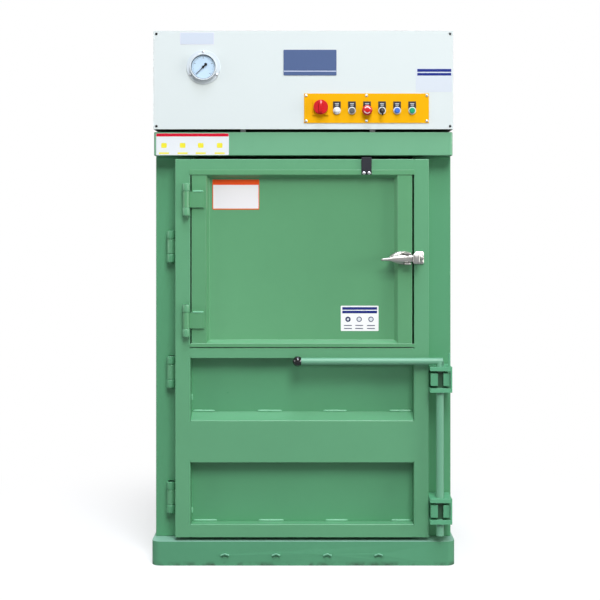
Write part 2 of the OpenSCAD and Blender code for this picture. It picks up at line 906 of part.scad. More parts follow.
// Hydraulic press: cylinder, nested ram stages, platen and its guides
module ram_barrel() {
    color(dark_steel) {
        difference() {
            union() {
                round_z(0, barrel_y, header_z - 2, barrel_top, barrel_r);
                round_z(0, barrel_y, deck_top, deck_top + barrel_flange_t, barrel_flange_r);
            }
            round_z(0, barrel_y, header_z - 2 - eps, barrel_top - barrel_cap_t, barrel_in_r);
        }
        for (a = [0:45:315])
            translate([barrel_bolt_ring * cos(a), barrel_y + barrel_bolt_ring * sin(a), 0])
                round_z(0, 0, deck_top + barrel_flange_t, deck_top + barrel_flange_t + 12, 12);
    }
}
module ram_tube(r_out, r_in, rank) {
    color(bare_steel)
        difference() {
            round_z(0, barrel_y, platen_top + plunger_flange_t + rank * stage_step - 6,
                barrel_top - barrel_cap_t - stage_head_gap, r_out);
            round_z(0, barrel_y, platen_top, barrel_top, r_in);
        }
}
module ram_stage_outer() {
    ram_tube(stage_a_r, stage_a_in_r, 2);
}
module ram_stage_inner() {
    ram_tube(stage_b_r, stage_b_in_r, 1);
}
module ram_plunger() {
    color(bare_steel) {
        round_z(0, barrel_y, platen_top, barrel_top - barrel_cap_t - stage_head_gap, plunger_r);
        round_z(0, barrel_y, platen_top, platen_top + plunger_flange_t, plunger_flange_r);
    }
}
module press_platen() {
    rib_xs = [-platen_x + 40, -platen_x / 2, platen_x / 2 - 16, platen_x - 56];
    color(frame_green) {
        bar(-platen_x, platen_x, platen_y0, platen_y1, platen_z, platen_top);
        for (x = rib_xs)
            bar(x, x + 16, platen_y0 + 30, platen_y1 - 30, platen_top, platen_top + platen_rib_h);
    }
}
module platen_guides() {
    color([0.85, 0.84, 0.78])
        both_sides()
            for (y = [platen_y0 + 60, platen_y1 - 60 - guide_l])
                bar(platen_x, wall_in_x - guide_gap, y, y + guide_l, platen_z, platen_z + guide_h);
}

// Power pack on the tray
module tray_case(x0, x1, y0, y1, h) {
    difference() {
        bar(x0, x1, y0, y1, tray_top, tray_top + h);
        bar(x0 + case_wall, x1 - case_wall, y0 + case_wall, y1 - case_wall, tray_top - eps,
            tray_top + h - case_wall);
    }
}
module oil_tank() {
    color(frame_green)
        tray_case(tank_x0, tank_x0 + tank_w, -tank_d / 2, tank_d / 2, tank_h);
}
module pump_motor() {
    motor_z = tray_top + motor_r + 12;
    color([0.35, 0.40, 0.45]) {
        round_x(motor_x0, motor_x0 + motor_l, motor_y, motor_z, motor_r);
        round_x(motor_x0 - pump_l, motor_x0, motor_y, motor_z, pump_r);
        bar(motor_x0 + 40, motor_x0 + motor_l - 60, motor_y - motor_r, motor_y + motor_r,
            tray_top, motor_z - motor_r / 2);
    }
}
module valve_block() {
    x0 = -gauge_x - valve_w / 2;
    z0 = tray_top + tank_h;
    pipe_z = z0 + valve_h - 30;
    color(bare_steel) {
        bar(x0, x0 + valve_w, -valve_w / 2, valve_w / 2, z0, z0 + valve_h);
        round_y(-gauge_x, front_y + gauge_case_d, -valve_w / 2, gauge_z, pipe_r);
        round_x(x0 + valve_w, -barrel_r - pipe_fit, barrel_y, pipe_z, pipe_r);
    }
}
module electrics_box() {
    color([0.75, 0.76, 0.77])
        tray_case(box_x0, box_x0 + box_w, box_y0, box_y0 + box_d, box_h);
}

// Main hinges: column knuckles with their pins, and the door's knuckles
module column_hinges() {
    color(frame_green)
        for (i = [0:hinge_count - 1])
            translate([hinge_x, hinge_y, hinge_z0 + i * hinge_pitch]) {
                for (s = [-1, 1]) {
                    z0 = s < 0 ? -hinge_l / 2 : hinge_l / 2 - hinge_end_l;
                    round_z(0, 0, z0, z0 + hinge_end_l, hinge_r);
                    bar(-hinge_r, hinge_pin_r, 0, column_y - hinge_y, z0, z0 + hinge_end_l);
                }
                round_z(0, 0, -hinge_l / 2 - pin_tail, hinge_l / 2, hinge_pin_r);
            }
}
module door_knuckles() {
    color(door_green)
        for (i = [0:hinge_count - 1])
            translate([hinge_x, hinge_y, hinge_z0 + i * hinge_pitch])
                difference() {
                    union() {
                        round_z(0, 0, -hinge_mid_l / 2, hinge_mid_l / 2, hinge_r);
                        bar(0, hinge_offset, -hinge_leaf_t / 2, hinge_leaf_t / 2,
                            -hinge_mid_l / 2, hinge_mid_l / 2);
                    }
                    round_z(0, 0, -hinge_mid_l, hinge_mid_l, hinge_pin_r + pin_clearance);
                }
}

// Main door: welded tube frame, skin and belly plate
module door_stiles() {
    color(door_green) {
        tube_z(door_x0, opening_x0, door_y, door_back_y, door_z0, door_z1, tube_wall);
        tube_z(opening_x1, door_x1, door_y, door_back_y, door_z0, door_z1, tube_wall);
    }
}
module door_rails() {
    color(door_green) {
        tube_x(opening_x0, opening_x1, door_y, door_back_y, opening_top, door_z1, tube_wall);
        tube_x(opening_x0, opening_x1, door_y, door_back_y, sill_z, sill_top, tube_wall);
        tube_x(opening_x0, opening_x1, door_y, door_back_y, door_z0, door_z0 + bottom_rail_h, tube_wall);
    }
}
module door_skin() {
    color(door_green)
        bar(opening_x0, opening_x1, recess_y, recess_y + skin_t, door_z0 + bottom_rail_h, sill_z);
}
module door_belly() {
    t = tube_wall;
    color(door_green)
        translate([opening_x0, 0, 0])
            rotate([90, 0, 90])
                linear_extrude(opening_x1 - opening_x0)
                    difference() {
                        polygon([[door_y, belly_z], [door_y, belly_z + belly_h],
                            [recess_y, belly_z + belly_h + belly_rise], [recess_y, belly_z]]);
                        polygon([[door_y + t, belly_z + t], [door_y + t, belly_z + belly_h - t],
                            [recess_y + eps, belly_z + belly_h + belly_rise - t],
                            [recess_y + eps, belly_z + t]]);
                    }
}

// Feed hinges: knuckles and pins on the main door, leaves on the feed door
module feed_hinge_knuckles() {
    color(door_green)
        for (z = feed_hinge_zs)
            translate([feed_hinge_x, feed_hinge_y, z]) {
                for (s = [-1, 1]) {
                    z0 = s < 0 ? -feed_hinge_l / 2 : feed_hinge_l / 2 - feed_end_l;
                    round_z(0, 0, z0, z0 + feed_end_l, feed_hinge_r);
                    bar(-feed_hinge_r, feed_pin_r, 0, door_y - feed_hinge_y, z0, z0 + feed_end_l);
                }
                round_z(0, 0, -feed_hinge_l / 2 - pin_tail, feed_hinge_l / 2, feed_pin_r);
            }
}
module feed_hinge_leaves() {
    color(door_green)
        for (z = feed_hinge_zs)
            difference() {
                union() {
                    round_z(feed_hinge_x, feed_hinge_y, z - feed_hinge_mid_l / 2,
                        z + feed_hinge_mid_l / 2, feed_hinge_r);
                    bar(feed_hinge_x, feed_x0 + feed_leaf_w, feed_y - feed_leaf_t, feed_y,
                        z - feed_hinge_mid_l / 2, z + feed_hinge_mid_l / 2);
                }
                round_z(feed_hinge_x, feed_hinge_y, z - feed_hinge_mid_l, z + feed_hinge_mid_l,
                    feed_pin_r + pin_clearance);
            }
}

// Feed door: one folded sheet with a dished middle and returned edges
module feed_panel() {
    x0 = feed_x0 + feed_margin_x;
    x1 = feed_x1 - feed_margin_x;
    z0 = feed_z0 + feed_margin_bottom;
    z1 = feed_z1 - feed_margin_top;
    dish_back = feed_y + dish_d + feed_sheet;
    color(door_green)
        difference() {
            union() {
                bar(feed_x0, feed_x1, feed_y, feed_back_y, feed_z0, feed_z1);
                bar(opening_x0 - lap_over, opening_x1 + lap_over, lap_y, feed_y, z1 + lap_edge,
                    opening_top + lap_over);
                bar(opening_x0 - lap_over, opening_x1 + lap_over, lap_y, feed_y, feed_z0, z0 - lap_edge);
            }
            hull() {
                bar(x0, x1, feed_y - eps, feed_y, z0, z1);
                bar(x0 + dish_bevel, x1 - dish_bevel, feed_y, feed_y + dish_d, z0 + dish_bevel,
                    z1 - dish_bevel);
            }
            bar(feed_x0 + feed_sheet, x0, feed_y + feed_sheet, feed_back_y + eps,
                feed_z0 + feed_sheet, feed_z1 - feed_sheet);
            bar(x1, feed_x1 - feed_sheet, feed_y + feed_sheet, feed_back_y + eps,
                feed_z0 + feed_sheet, feed_z1 - feed_sheet);
            bar(x0 - eps, x1 + eps, dish_back, feed_back_y + eps,
                feed_z0 + feed_sheet, feed_z1 - feed_sheet);
        }
}
module interlock_strap() {
    color(black) {
        z0 = feed_z1 - feed_margin_top + 2;
        z1 = door_z1 + 2 + strap_t;
        bar(strap_x - strap_w / 2, strap_x + strap_w / 2, lap_y - strap_t, lap_y, z0, z1);
        bar(strap_x - strap_w / 2, strap_x + strap_w / 2, lap_y - strap_t,
            lap_y - strap_t + strap_tongue, z1 - strap_t, z1);
    }
}
module strap_rivets() {
    color(bare_steel)
        for (s = [-1, 1])
            round_y(strap_x + s * strap_w / 4, lap_y - strap_t - 3, lap_y - strap_t,
                feed_z1 - feed_margin_top / 2, rivet_r);
}

// Lock: ears on the door edge, turning rod with its lever, keepers on the column
module lock_ears() {
    color(door_green) {
        for (zc = ear_zs)
            difference() {
                union() {
                    for (z = [zc - ear_space / 2 - ear_t, zc + ear_space / 2])
                        bar(door_x1, door_x1 + ear_w, rod_y - ear_front, column_y - ear_back_gap,
                            z, z + ear_t);
                    bar(door_x1 + ear_w - ear_web_t, door_x1 + ear_w, rod_y - ear_front,
                        rod_y - ear_front + ear_web_d, zc - ear_space / 2, zc + ear_space / 2);
                }
                round_z(rod_x, rod_y, zc - ear_space, zc + ear_space, rod_r + rod_fit);
            }
        translate([door_x1 + ear_w - ear_web_t - stop_tab_t, rod_y - ear_front,
            ear_high_z + ear_space / 2 + ear_t])
            cube([stop_tab_t, stop_tab_d, stop_tab_h]);
    }
}
module lock_rod() {
    color(door_green) {
        difference() {
            round_z(rod_x, rod_y, rod_z0, lever_z, rod_r);
            for (zc = ear_zs)
                difference() {
                    round_z(rod_x, rod_y, zc - ear_space / 2, zc + ear_space / 2, rod_r + eps);
                    intersection() {
                        round_z(rod_x, rod_y, zc - ear_space, zc + ear_space, cam_r);
                        bar(rod_x - rod_r, rod_x + rod_r, rod_y - cam_t / 2, rod_y + cam_t / 2,
                            zc - ear_space, zc + ear_space);
                    }
                }
        }
        round_x(knob_x, rod_x + lever_tail, rod_y, lever_z, lever_r);
    }
}
module lever_knob() {
    color(black)
        translate([knob_x, rod_y, lever_z])
            rotate([0, 90, 0])
                rotate_extrude()
                    difference() {
                        intersection() {
                            circle(knob_r);
                            translate([0, -knob_r]) square([knob_r, 2 * knob_r]);
                        }
                        translate([0, -rod_fit]) square([lever_r + rod_fit, knob_r + eps]);
                    }
}
module lock_keepers() {
    color(frame_green)
        for (zc = ear_zs)
            difference() {
                bar(keeper_x0, keeper_x0 + keeper_w, rod_y - keeper_front, column_y,
                    zc - keeper_h / 2, zc + keeper_h / 2);
                round_z(rod_x, rod_y, zc - keeper_h, zc + keeper_h, cam_r + cam_fit);
                bar(rod_x - keeper_mouth / 2, rod_x + keeper_mouth / 2, rod_y - keeper_front - eps,
                    rod_y, zc - keeper_h, zc + keeper_h);
                bar(keeper_x0 + keeper_wall, keeper_x0 + keeper_w - keeper_wall,
                    rod_y + cam_r + keeper_wall, column_y - keeper_wall, zc - keeper_h, zc + keeper_h);
            }
}

// Latch: cast body with a pivot pin, pull handle with a tongue, hooked keeper
module latch_body() {
    z0 = latch_z - latch_h / 2;
    z1 = latch_z + latch_h / 2;
    color(bare_steel) {
        bar(feed_x1 - latch_w, feed_x1, feed_y - latch_foot_t, feed_y, z0, z1);
        for (z = [z0, z1 - latch_ear_t])
            bar(latch_x - latch_hub_r, latch_x + latch_hub_r, latch_y - latch_hub_r,
                feed_y - latch_foot_t, z, z + latch_ear_t);
        round_z(latch_x, latch_y, z0, z1, latch_pin_r);
    }
}
module latch_handle() {
    z0 = latch_z - latch_h / 2 + latch_ear_t + latch_fit;
    z1 = latch_z + latch_h / 2 - latch_ear_t - latch_fit;
    tip_r = 6;
    color(bare_steel)
        difference() {
            union() {
                round_z(latch_x, latch_y, z0, z1, latch_hub_r);
                hull() {
                    round_z(latch_x - latch_hub_r, latch_y, z0, z1, latch_hub_r - 1);
                    translate([latch_x - latch_handle_l + tip_r, latch_y - 2, latch_z - 6])
                        sphere(tip_r, $fn = 24);
                }
                bar(latch_x, latch_x + latch_tongue_l, latch_y - latch_tongue_t / 2,
                    latch_y + latch_tongue_t / 2, z0, z1);
            }
            round_z(latch_x, latch_y, z0 - eps, z1 + eps, latch_pin_r + pin_clearance);
        }
}
module latch_keeper() {
    lip_y = latch_y - latch_tongue_t / 2 - latch_lip_gap;
    z0 = latch_z - latch_h / 2 + 3;
    z1 = latch_z + latch_h / 2 + 3;
    x0 = opening_x1 + 1;
    color(bare_steel) {
        bar(x0, x0 + latch_keeper_w, door_y - latch_lip_t, door_y, z0, z1);
        bar(x0 + latch_keeper_web, x0 + 2 * latch_keeper_web, lip_y, door_y - latch_lip_t, z0, z1);
        bar(latch_x + latch_tongue_l - latch_lip_reach, x0 + 2 * latch_keeper_web,
            lip_y - latch_lip_t, lip_y, z0, z1);
    }
}

base_front_rail();
base_side_rails();
floor_plate();
front_columns();
rear_columns();
side_walls();
rear_wall();
wall_ribs();
header_beam();
top_rails();
top_deck();
power_tray();
front_panel();
hood_cover();
rear_cover();
panel_screws();
control_plate();
cover_screws();
legend_plates();
switch_bezels();
gauge_case();
gauge_dial();
gauge_glass();
gauge_pointer();
ram_barrel();
oil_tank();
pump_motor();
valve_block();
electrics_box();
cable_gland();
column_hinges();
lock_keepers();
door_stiles();
door_rails();
door_belly();
door_skin();
door_knuckles();
feed_hinge_knuckles();
lock_ears();
latch_keeper();
lock_rod();
lever_knob();
feed_panel();
feed_hinge_leaves();
interlock_strap();
strap_rivets();
latch_body();
latch_handle();
press_platen();
platen_guides();
ram_plunger();
ram_stage_inner();
ram_stage_outer();
main_switch_knob();
grey_button();
blue_button();
green_button();
estop_stem();
estop_head();
key_switch();
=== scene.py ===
import json
import math

import bmesh
import bpy
import numpy as np
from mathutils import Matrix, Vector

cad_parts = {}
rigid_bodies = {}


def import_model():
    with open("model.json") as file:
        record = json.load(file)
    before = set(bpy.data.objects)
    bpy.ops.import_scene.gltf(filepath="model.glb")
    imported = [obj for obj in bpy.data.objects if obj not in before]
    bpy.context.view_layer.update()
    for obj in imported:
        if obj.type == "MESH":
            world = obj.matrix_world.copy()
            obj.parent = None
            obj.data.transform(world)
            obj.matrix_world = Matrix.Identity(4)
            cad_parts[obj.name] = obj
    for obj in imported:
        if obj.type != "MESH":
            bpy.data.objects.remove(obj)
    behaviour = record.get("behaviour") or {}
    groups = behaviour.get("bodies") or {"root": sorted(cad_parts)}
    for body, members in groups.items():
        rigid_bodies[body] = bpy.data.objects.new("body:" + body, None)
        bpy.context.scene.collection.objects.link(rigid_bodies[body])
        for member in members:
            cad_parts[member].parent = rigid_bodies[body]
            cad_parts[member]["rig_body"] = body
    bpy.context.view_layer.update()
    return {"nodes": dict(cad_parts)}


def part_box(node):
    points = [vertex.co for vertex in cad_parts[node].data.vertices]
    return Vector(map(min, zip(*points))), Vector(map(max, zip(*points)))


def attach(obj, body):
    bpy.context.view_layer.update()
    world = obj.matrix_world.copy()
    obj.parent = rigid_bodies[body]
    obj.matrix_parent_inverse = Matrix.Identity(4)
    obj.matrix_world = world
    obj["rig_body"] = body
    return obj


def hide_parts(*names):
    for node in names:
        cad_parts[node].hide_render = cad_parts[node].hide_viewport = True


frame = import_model()


# Base: a folded and welded plate tray with rounded front corners, sprayed green over steel.
# It stands on the floor, and small tie hooks are pressed out of its front face.
# Its lower edge has collected scuffs, and its upper faces are painted paler, painted light from above.
def srgb(r, g, b):
    """A colour given in 0 to 255 display steps, as the linear values that a shader takes."""
    c = np.array([r, g, b]) / 255.0
    return (*np.where(c > 0.04045, ((c + 0.055) / 1.055) ** 2.4, c / 12.92), 1.0)


def softened(node, material, width=0.0015, segments=2, angle=30.0, joined=True):
    """A copy of a CAD node with doubled corners merged, flat triangles joined and sharp edges rounded."""
    bm = bmesh.new()
    bm.from_mesh(frame["nodes"][node].data)
    bmesh.ops.remove_doubles(bm, verts=bm.verts, dist=2e-5)
    if joined:
        bmesh.ops.dissolve_limit(bm, angle_limit=math.radians(0.5), verts=bm.verts, edges=bm.edges)
    mesh = bpy.data.meshes.new(node + "_skin")
    bm.to_mesh(mesh)
    bm.free()
    mesh.polygons.foreach_set("use_smooth", np.ones(len(mesh.polygons), dtype=bool))
    mesh.set_sharp_from_angle(angle=math.radians(angle))
    mesh.materials.append(material)
    piece = bpy.data.objects.new(node + "_skin", mesh)
    bpy.context.scene.collection.objects.link(piece)
    edge = piece.modifiers.new("edge", "BEVEL")
    edge.width = width
    edge.segments = segments
    edge.limit_method = "ANGLE"
    edge.angle_limit = math.radians(angle)
    edge.harden_normals = True
    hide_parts(node)
    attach(piece, frame["nodes"][node]["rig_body"])
    return piece


def new_group(name, inputs, outputs):
    """An empty shader group with named sockets; each is (name, kind, default)."""
    group = bpy.data.node_groups.new(name, "ShaderNodeTree")
    for sockets, way in ((inputs, "INPUT"), (outputs, "OUTPUT")):
        for label, kind, default in sockets:
            socket = group.interface.new_socket(label, in_out=way, socket_type="NodeSocket" + kind)
            if default is not None:
                socket.default_value = default
    return group, group.nodes.new("NodeGroupInput"), group.nodes.new("NodeGroupOutput")


def add(tree, kind, settings=(), **sockets):
    """A node of that kind; settings are its properties and sockets its input values or links.

    A socket is named with _ for each space, or by i and its number.
    """
    node = tree.nodes.new("ShaderNode" + kind)
    for key, value in dict(settings).items():
        setattr(node, key, value)
    for key, value in sockets.items():
        socket = node.inputs[int(key[1:])] if key[1:].isdigit() else node.inputs[key.replace("_", " ")]
        if isinstance(value, bpy.types.NodeSocket):
            tree.links.new(value, socket)
        else:
            socket.default_value = value
    return node


def mixed_colour(tree, factor, first, second):
    """The colour that goes from first to second with the factor; each is a link or a fixed colour."""
    return add(tree, "Mix", {"data_type": "RGBA"}, Factor=factor, i6=first, i7=second).outputs[2]


# Sprayed coat: slow cloudy changes of shade, a fine orange-peel relief and an uneven sheen.
coat, coat_in, coat_out = new_group(
    "sprayed_coat",
    [("Vector", "Vector", None), ("Colour", "Color", None), ("Cloud", "Float", 0.06),
     ("Sheen", "Float", 0.4), ("Peel", "Float", 0.08)],
    [("Colour", "Color", None), ("Roughness", "Float", None), ("Normal", "Vector", None)])
cloud = add(coat, "TexNoise", Vector=coat_in.outputs["Vector"], Scale=2.3, Detail=4.0)
fleck = add(coat, "TexNoise", Vector=coat_in.outputs["Vector"], Scale=38.0, Detail=3.0)
peel = add(coat, "TexNoise", Vector=coat_in.outputs["Vector"], Scale=320.0, Detail=2.0)
sway = add(coat, "Math", {"operation": "MULTIPLY_ADD"}, i0=cloud.outputs["Fac"], i1=1.6, i2=-0.8)
sway = add(coat, "Math", {"operation": "MULTIPLY_ADD"}, i0=fleck.outputs["Fac"], i1=0.4, i2=sway.outputs[0])
sway = add(coat, "Math", {"operation": "SUBTRACT"}, i0=sway.outputs[0], i1=0.2)
value = add(coat, "Math", {"operation": "MULTIPLY_ADD"}, i0=sway.outputs[0],
            i1=coat_in.outputs["Cloud"], i2=1.0)
tint = add(coat, "HueSaturation", Color=coat_in.outputs["Colour"], Value=value.outputs[0])
sheen = add(coat, "Math", {"operation": "MULTIPLY_ADD"}, i0=fleck.outputs["Fac"], i1=0.16,
            i2=coat_in.outputs["Sheen"])
relief = add(coat, "Bump", Strength=coat_in.outputs["Peel"], Distance=0.0006, Height=peel.outputs["Fac"])
coat.links.new(tint.outputs[0], coat_out.inputs["Colour"])
coat.links.new(sheen.outputs[0], coat_out.inputs["Roughness"])
coat.links.new(relief.outputs[0], coat_out.inputs["Normal"])

# Grime: a mask that grows from the height High down to Low and is broken up by noise.
grime, grime_in, grime_out = new_group(
    "grime_mask",
    [("Vector", "Vector", None), ("Low", "Float", 0.0), ("High", "Float", 0.05), ("Patches", "Float", 24.0)],
    [("Mask", "Float", None)])
place = add(grime, "SeparateXYZ", Vector=grime_in.outputs["Vector"])
height = add(grime, "MapRange", {"interpolation_type": "SMOOTHSTEP"}, Value=place.outputs["Z"],
             From_Min=grime_in.outputs["High"], From_Max=grime_in.outputs["Low"])
patch = add(grime, "TexNoise", Vector=grime_in.outputs["Vector"], Scale=grime_in.outputs["Patches"],
            Detail=5.0)
broken = add(grime, "MapRange", Value=patch.outputs["Fac"], From_Min=0.46, From_Max=0.66)
mask = add(grime, "Math", {"operation": "MULTIPLY"}, i0=height.outputs[0], i1=broken.outputs[0])
grime.links.new(mask.outputs[0], grime_out.inputs["Mask"])


def shader(name):
    """A material with its tree cleared to an output, a Principled shader and object coordinates."""
    material = bpy.data.materials.new(name)
    material.use_nodes = True
    tree = material.node_tree
    tree.nodes.clear()
    skin = tree.nodes.new("ShaderNodeBsdfPrincipled")
    output = tree.nodes.new("ShaderNodeOutputMaterial")
    tree.links.new(skin.outputs[0], output.inputs["Surface"])
    return material, tree, skin, tree.nodes.new("ShaderNodeTexCoord").outputs["Object"]


def coated(name, colour, cloud=0.06, sheen=0.30, peel=0.1, gloss=0.5, grime_top=None, upward_light=0.0):
    """Sprayed metal of that colour.

    Dirt clings to it up to the height grime_top, and the last argument is the share of painted light that
    pales the faces looking up.
    """
    material, tree, skin, where = shader(name)
    layer = add(tree, "Group", {"node_tree": coat}, Vector=where, Colour=colour, Cloud=cloud,
                Sheen=sheen, Peel=peel)
    paint = layer.outputs["Colour"]
    if grime_top:
        dirt = add(tree, "Group", {"node_tree": grime}, Vector=where, Low=0.0, High=grime_top, Patches=30.0)
        paint = mixed_colour(tree, dirt.outputs["Mask"], paint, srgb(62, 92, 70))
    # Painted light: the faces that look up are mixed towards a pale mint.
    if upward_light:
        facing = add(tree, "SeparateXYZ", Vector=add(tree, "TexCoord").outputs["Normal"])
        lit_from_above = add(tree, "MapRange", Value=facing.outputs["Z"], From_Min=0.3, From_Max=0.95, To_Max=upward_light)
        paint = mixed_colour(tree, lit_from_above.outputs[0], paint, srgb(176, 214, 202))
    tree.links.new(paint, skin.inputs["Base Color"])
    tree.links.new(layer.outputs["Roughness"], skin.inputs["Roughness"])
    tree.links.new(layer.outputs["Normal"], skin.inputs["Normal"])
    skin.inputs["Specular IOR Level"].default_value = gloss
    return material


base_green = coated("base_green", srgb(84, 150, 112), cloud=0.10, grime_top=0.022, upward_light=0.45)
softened("base_front_rail", base_green, 0.004, 3)
softened("base_side_rails", base_green, 0.003)


# Chamber: plain rolled plates welded between the columns, painted green, with flat ribs across them outside.
# The floor plate inside is bare and scraped bright by bales.
frame_green = coated("frame_green", srgb(85, 153, 110), cloud=0.08)
steel, steel_tree, steel_skin, steel_where = shader("rolled_steel")
stretch = add(steel_tree, "Mapping", Vector=steel_where, Scale=(4.0, 90.0, 4.0))
streak = add(steel_tree, "TexNoise", Vector=stretch.outputs[0], Scale=6.0, Detail=6.0)
shade = add(steel_tree, "ValToRGB", Fac=streak.outputs["Fac"])
shade.color_ramp.elements[0].color = srgb(96, 98, 98)
shade.color_ramp.elements[1].color = srgb(158, 160, 160)
steel_tree.links.new(shade.outputs[0], steel_skin.inputs["Base Color"])
steel_skin.inputs["Metallic"].default_value = 0.9
steel_skin.inputs["Roughness"].default_value = 0.45
softened("floor_plate", steel, 0.001)
for name in ("side_walls", "rear_wall", "wall_ribs"):
    softened(name, frame_green, 0.0015)


# Columns, rails and deck: rectangular tube welded to the base, the deck plate carrying the press cylinder.
# The folded header beam closes the front above the door; its green is painted lighter than the frame's,
# painted light that makes up for the hood's shade on it.
for name in ("front_columns", "rear_columns", "top_rails", "top_deck"):
    softened(name, frame_green, 0.003, 3)
# Painted light: the header's green is lighter to make up for the shade of the hood above it.
header_green = coated("header_green", srgb(106, 166, 128), cloud=0.06)
softened("header_beam", header_green, 0.004, 3)


# Press: a painted cylinder bolted to the deck, ground steel stages sliding in each other, and a ribbed
# platen that runs on nylon pads between the chamber walls.
def metal(name, colour, roughness, scale=(3.0, 3.0, 120.0)):
    """Worked metal with fine stretched marks in its sheen."""
    material, tree, skin, where = shader(name)
    drawn = add(tree, "Mapping", Vector=where, Scale=scale)
    marks = add(tree, "TexNoise", Vector=drawn.outputs[0], Scale=8.0, Detail=4.0)
    spread = add(tree, "MapRange", Value=marks.outputs["Fac"], To_Min=roughness * 0.75,
                 To_Max=roughness * 1.3)
    tree.links.new(spread.outputs[0], skin.inputs["Roughness"])
    skin.inputs["Base Color"].default_value = colour
    skin.inputs["Metallic"].default_value = 1.0
    return material


ground_steel = metal("ground_steel", srgb(196, 198, 200), 0.22)
for name in ("ram_plunger", "ram_stage_inner", "ram_stage_outer"):
    softened(name, ground_steel, 0.001)
softened("ram_barrel", coated("barrel_grey", srgb(74, 78, 80)), 0.002)
softened("press_platen", frame_green, 0.002)
softened("platen_guides", coated("nylon", srgb(216, 212, 198), cloud=0.03, sheen=0.5), 0.001)


# Power pack: oil tank, motor with its pump, valve block with steel pipes and the electrics box.
# All stand on the hood's tray, out of sight when the hood is on.
softened("oil_tank", frame_green, 0.002)
softened("pump_motor", coated("motor_grey", srgb(96, 108, 118), cloud=0.05), 0.003)
softened("valve_block", metal("valve_steel", srgb(176, 178, 180), 0.35), 0.001)
softened("electrics_box", coated("box_grey", srgb(196, 198, 200), cloud=0.03), 0.002)


# Hood: white powder-coated sheet, folded over the top and sides, with a flat front panel held by black
# corner screws and a slotted rear panel. It stands on a tray painted near black, painted shade for the gap
# under the hood, and the tray's small pale feet rest on the header.
white_coat = coated("white_coat", srgb(211, 219, 217), cloud=0.012, sheen=0.42, peel=0.06, gloss=0.18)
for name in ("front_panel", "hood_cover", "rear_cover"):
    softened(name, white_coat, 0.0012, 2)
feet_top = 1.7029
# Painted shade: above its feet the tray is painted near black so the gap under the hood reads dark; the feet
# keep a pale colour.
tray_gap_shade, tray_tree, tray_skin, tray_where = shader("tray_gap_shade")
tray_height = add(tray_tree, "SeparateXYZ", Vector=tray_where)
above_feet = add(tray_tree, "Math", {"operation": "GREATER_THAN"}, i0=tray_height.outputs["Z"], i1=feet_top)
tray_shade_and_feet = mixed_colour(tray_tree, above_feet.outputs[0], srgb(206, 210, 210), srgb(16, 18, 18))
tray_tree.links.new(tray_shade_and_feet, tray_skin.inputs["Base Color"])
tray_skin.inputs["Roughness"].default_value = 0.6
softened("power_tray", tray_gap_shade, 0.0012, 2)


def surface(name, points, material, body, around=True, stands_for=(), sharp=40.0):
    """A quad mesh through a grid of points (rows, columns, 3); around joins the last column to the first."""
    rows, columns = points.shape[:2]
    index = np.arange(rows * columns).reshape(rows, columns)
    right = np.roll(index, -1, axis=1) if around else index[:, 1:]
    left = index if around else index[:, :-1]
    quads = np.stack([left[:-1], right[:-1], right[1:], left[1:]], axis=-1).reshape(-1, 4)
    mesh = bpy.data.meshes.new(name)
    mesh.from_pydata(points.reshape(-1, 3).tolist(), [], quads.tolist())
    bm = bmesh.new()
    bm.from_mesh(mesh)
    bmesh.ops.remove_doubles(bm, verts=bm.verts, dist=1e-6)
    bmesh.ops.recalc_face_normals(bm, faces=bm.faces)
    bm.to_mesh(mesh)
    bm.free()
    mesh.polygons.foreach_set("use_smooth", np.ones(len(mesh.polygons), dtype=bool))
    mesh.set_sharp_from_angle(angle=math.radians(sharp))
    mesh.materials.append(material)
    piece = bpy.data.objects.new(name, mesh)
    bpy.context.scene.collection.objects.link(piece)
    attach(piece, body)
    if stands_for:
        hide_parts(*stands_for)
    return piece


def full_turn(steps):
    """Angles of one full turn in equal steps, the last one short of the first."""
    return np.linspace(0.0, 2.0 * math.pi, steps, endpoint=False)


def turned(x, z, profile, steps=40):
    """Points of a shape turned about the line through x, z along Y; profile rows are (radius, y)."""
    radius, y = np.array(profile, dtype=float).T
    turn = full_turn(steps)
    ring = np.stack([np.cos(turn), np.zeros_like(turn), np.sin(turn)], axis=-1)
    points = radius[:, None, None] * ring[None]
    points[..., 0] += x
    points[..., 1] += y[:, None]
    points[..., 2] += z
    return points


def plastic(name, colour, roughness=0.3, coat_weight=0.2):
    """Moulded plastic with a faint unevenness in its sheen."""
    material, tree, skin, where = shader(name)
    marks = add(tree, "TexNoise", Vector=where, Scale=90.0, Detail=3.0)
    spread = add(tree, "MapRange", Value=marks.outputs["Fac"], To_Min=roughness * 0.85,
                 To_Max=roughness * 1.2)
    tree.links.new(spread.outputs[0], skin.inputs["Roughness"])
    skin.inputs["Base Color"].default_value = colour
    skin.inputs["Coat Weight"].default_value = coat_weight
    return material


def head_profile(radius, seat, rise=0.003):
    """Profile rows of a low round head on the plane y = seat: a short edge under a quarter of an ellipse."""
    quarter = np.linspace(0.0, math.pi / 2, 7)
    dome = [(radius * math.cos(a), seat - rise * (0.35 + 0.65 * math.sin(a))) for a in quarter]
    return [(radius, seat)] + dome


def screw_heads(name, node, material, centres, radius, seat):
    """Round heads, one at each (x, z), on the plane y = seat; the first stands for their CAD node."""
    for i, (x, z) in enumerate(centres):
        head = turned(x, z, head_profile(radius, seat), 20)
        piece = surface(f"{name}_{i}", head, material, "frame")
        if i == 0:
            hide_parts(node)


black_steel = coated("black_steel", srgb(14, 14, 16), cloud=0.05, sheen=0.4, gloss=0.2)
hood_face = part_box("front_panel")[0][1]
screw_low, screw_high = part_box("panel_screws")
screw_radius = 0.0048
corners = [(x, z) for x in (screw_low[0] + screw_radius, screw_high[0] - screw_radius)
           for z in (screw_low[2] + screw_radius, screw_high[2] - screw_radius)]
screw_heads("corner_screw", "panel_screws", black_steel, corners, screw_radius, hood_face)
softened("cable_gland", plastic("gland_black", srgb(30, 30, 32), 0.5), 0.0015)


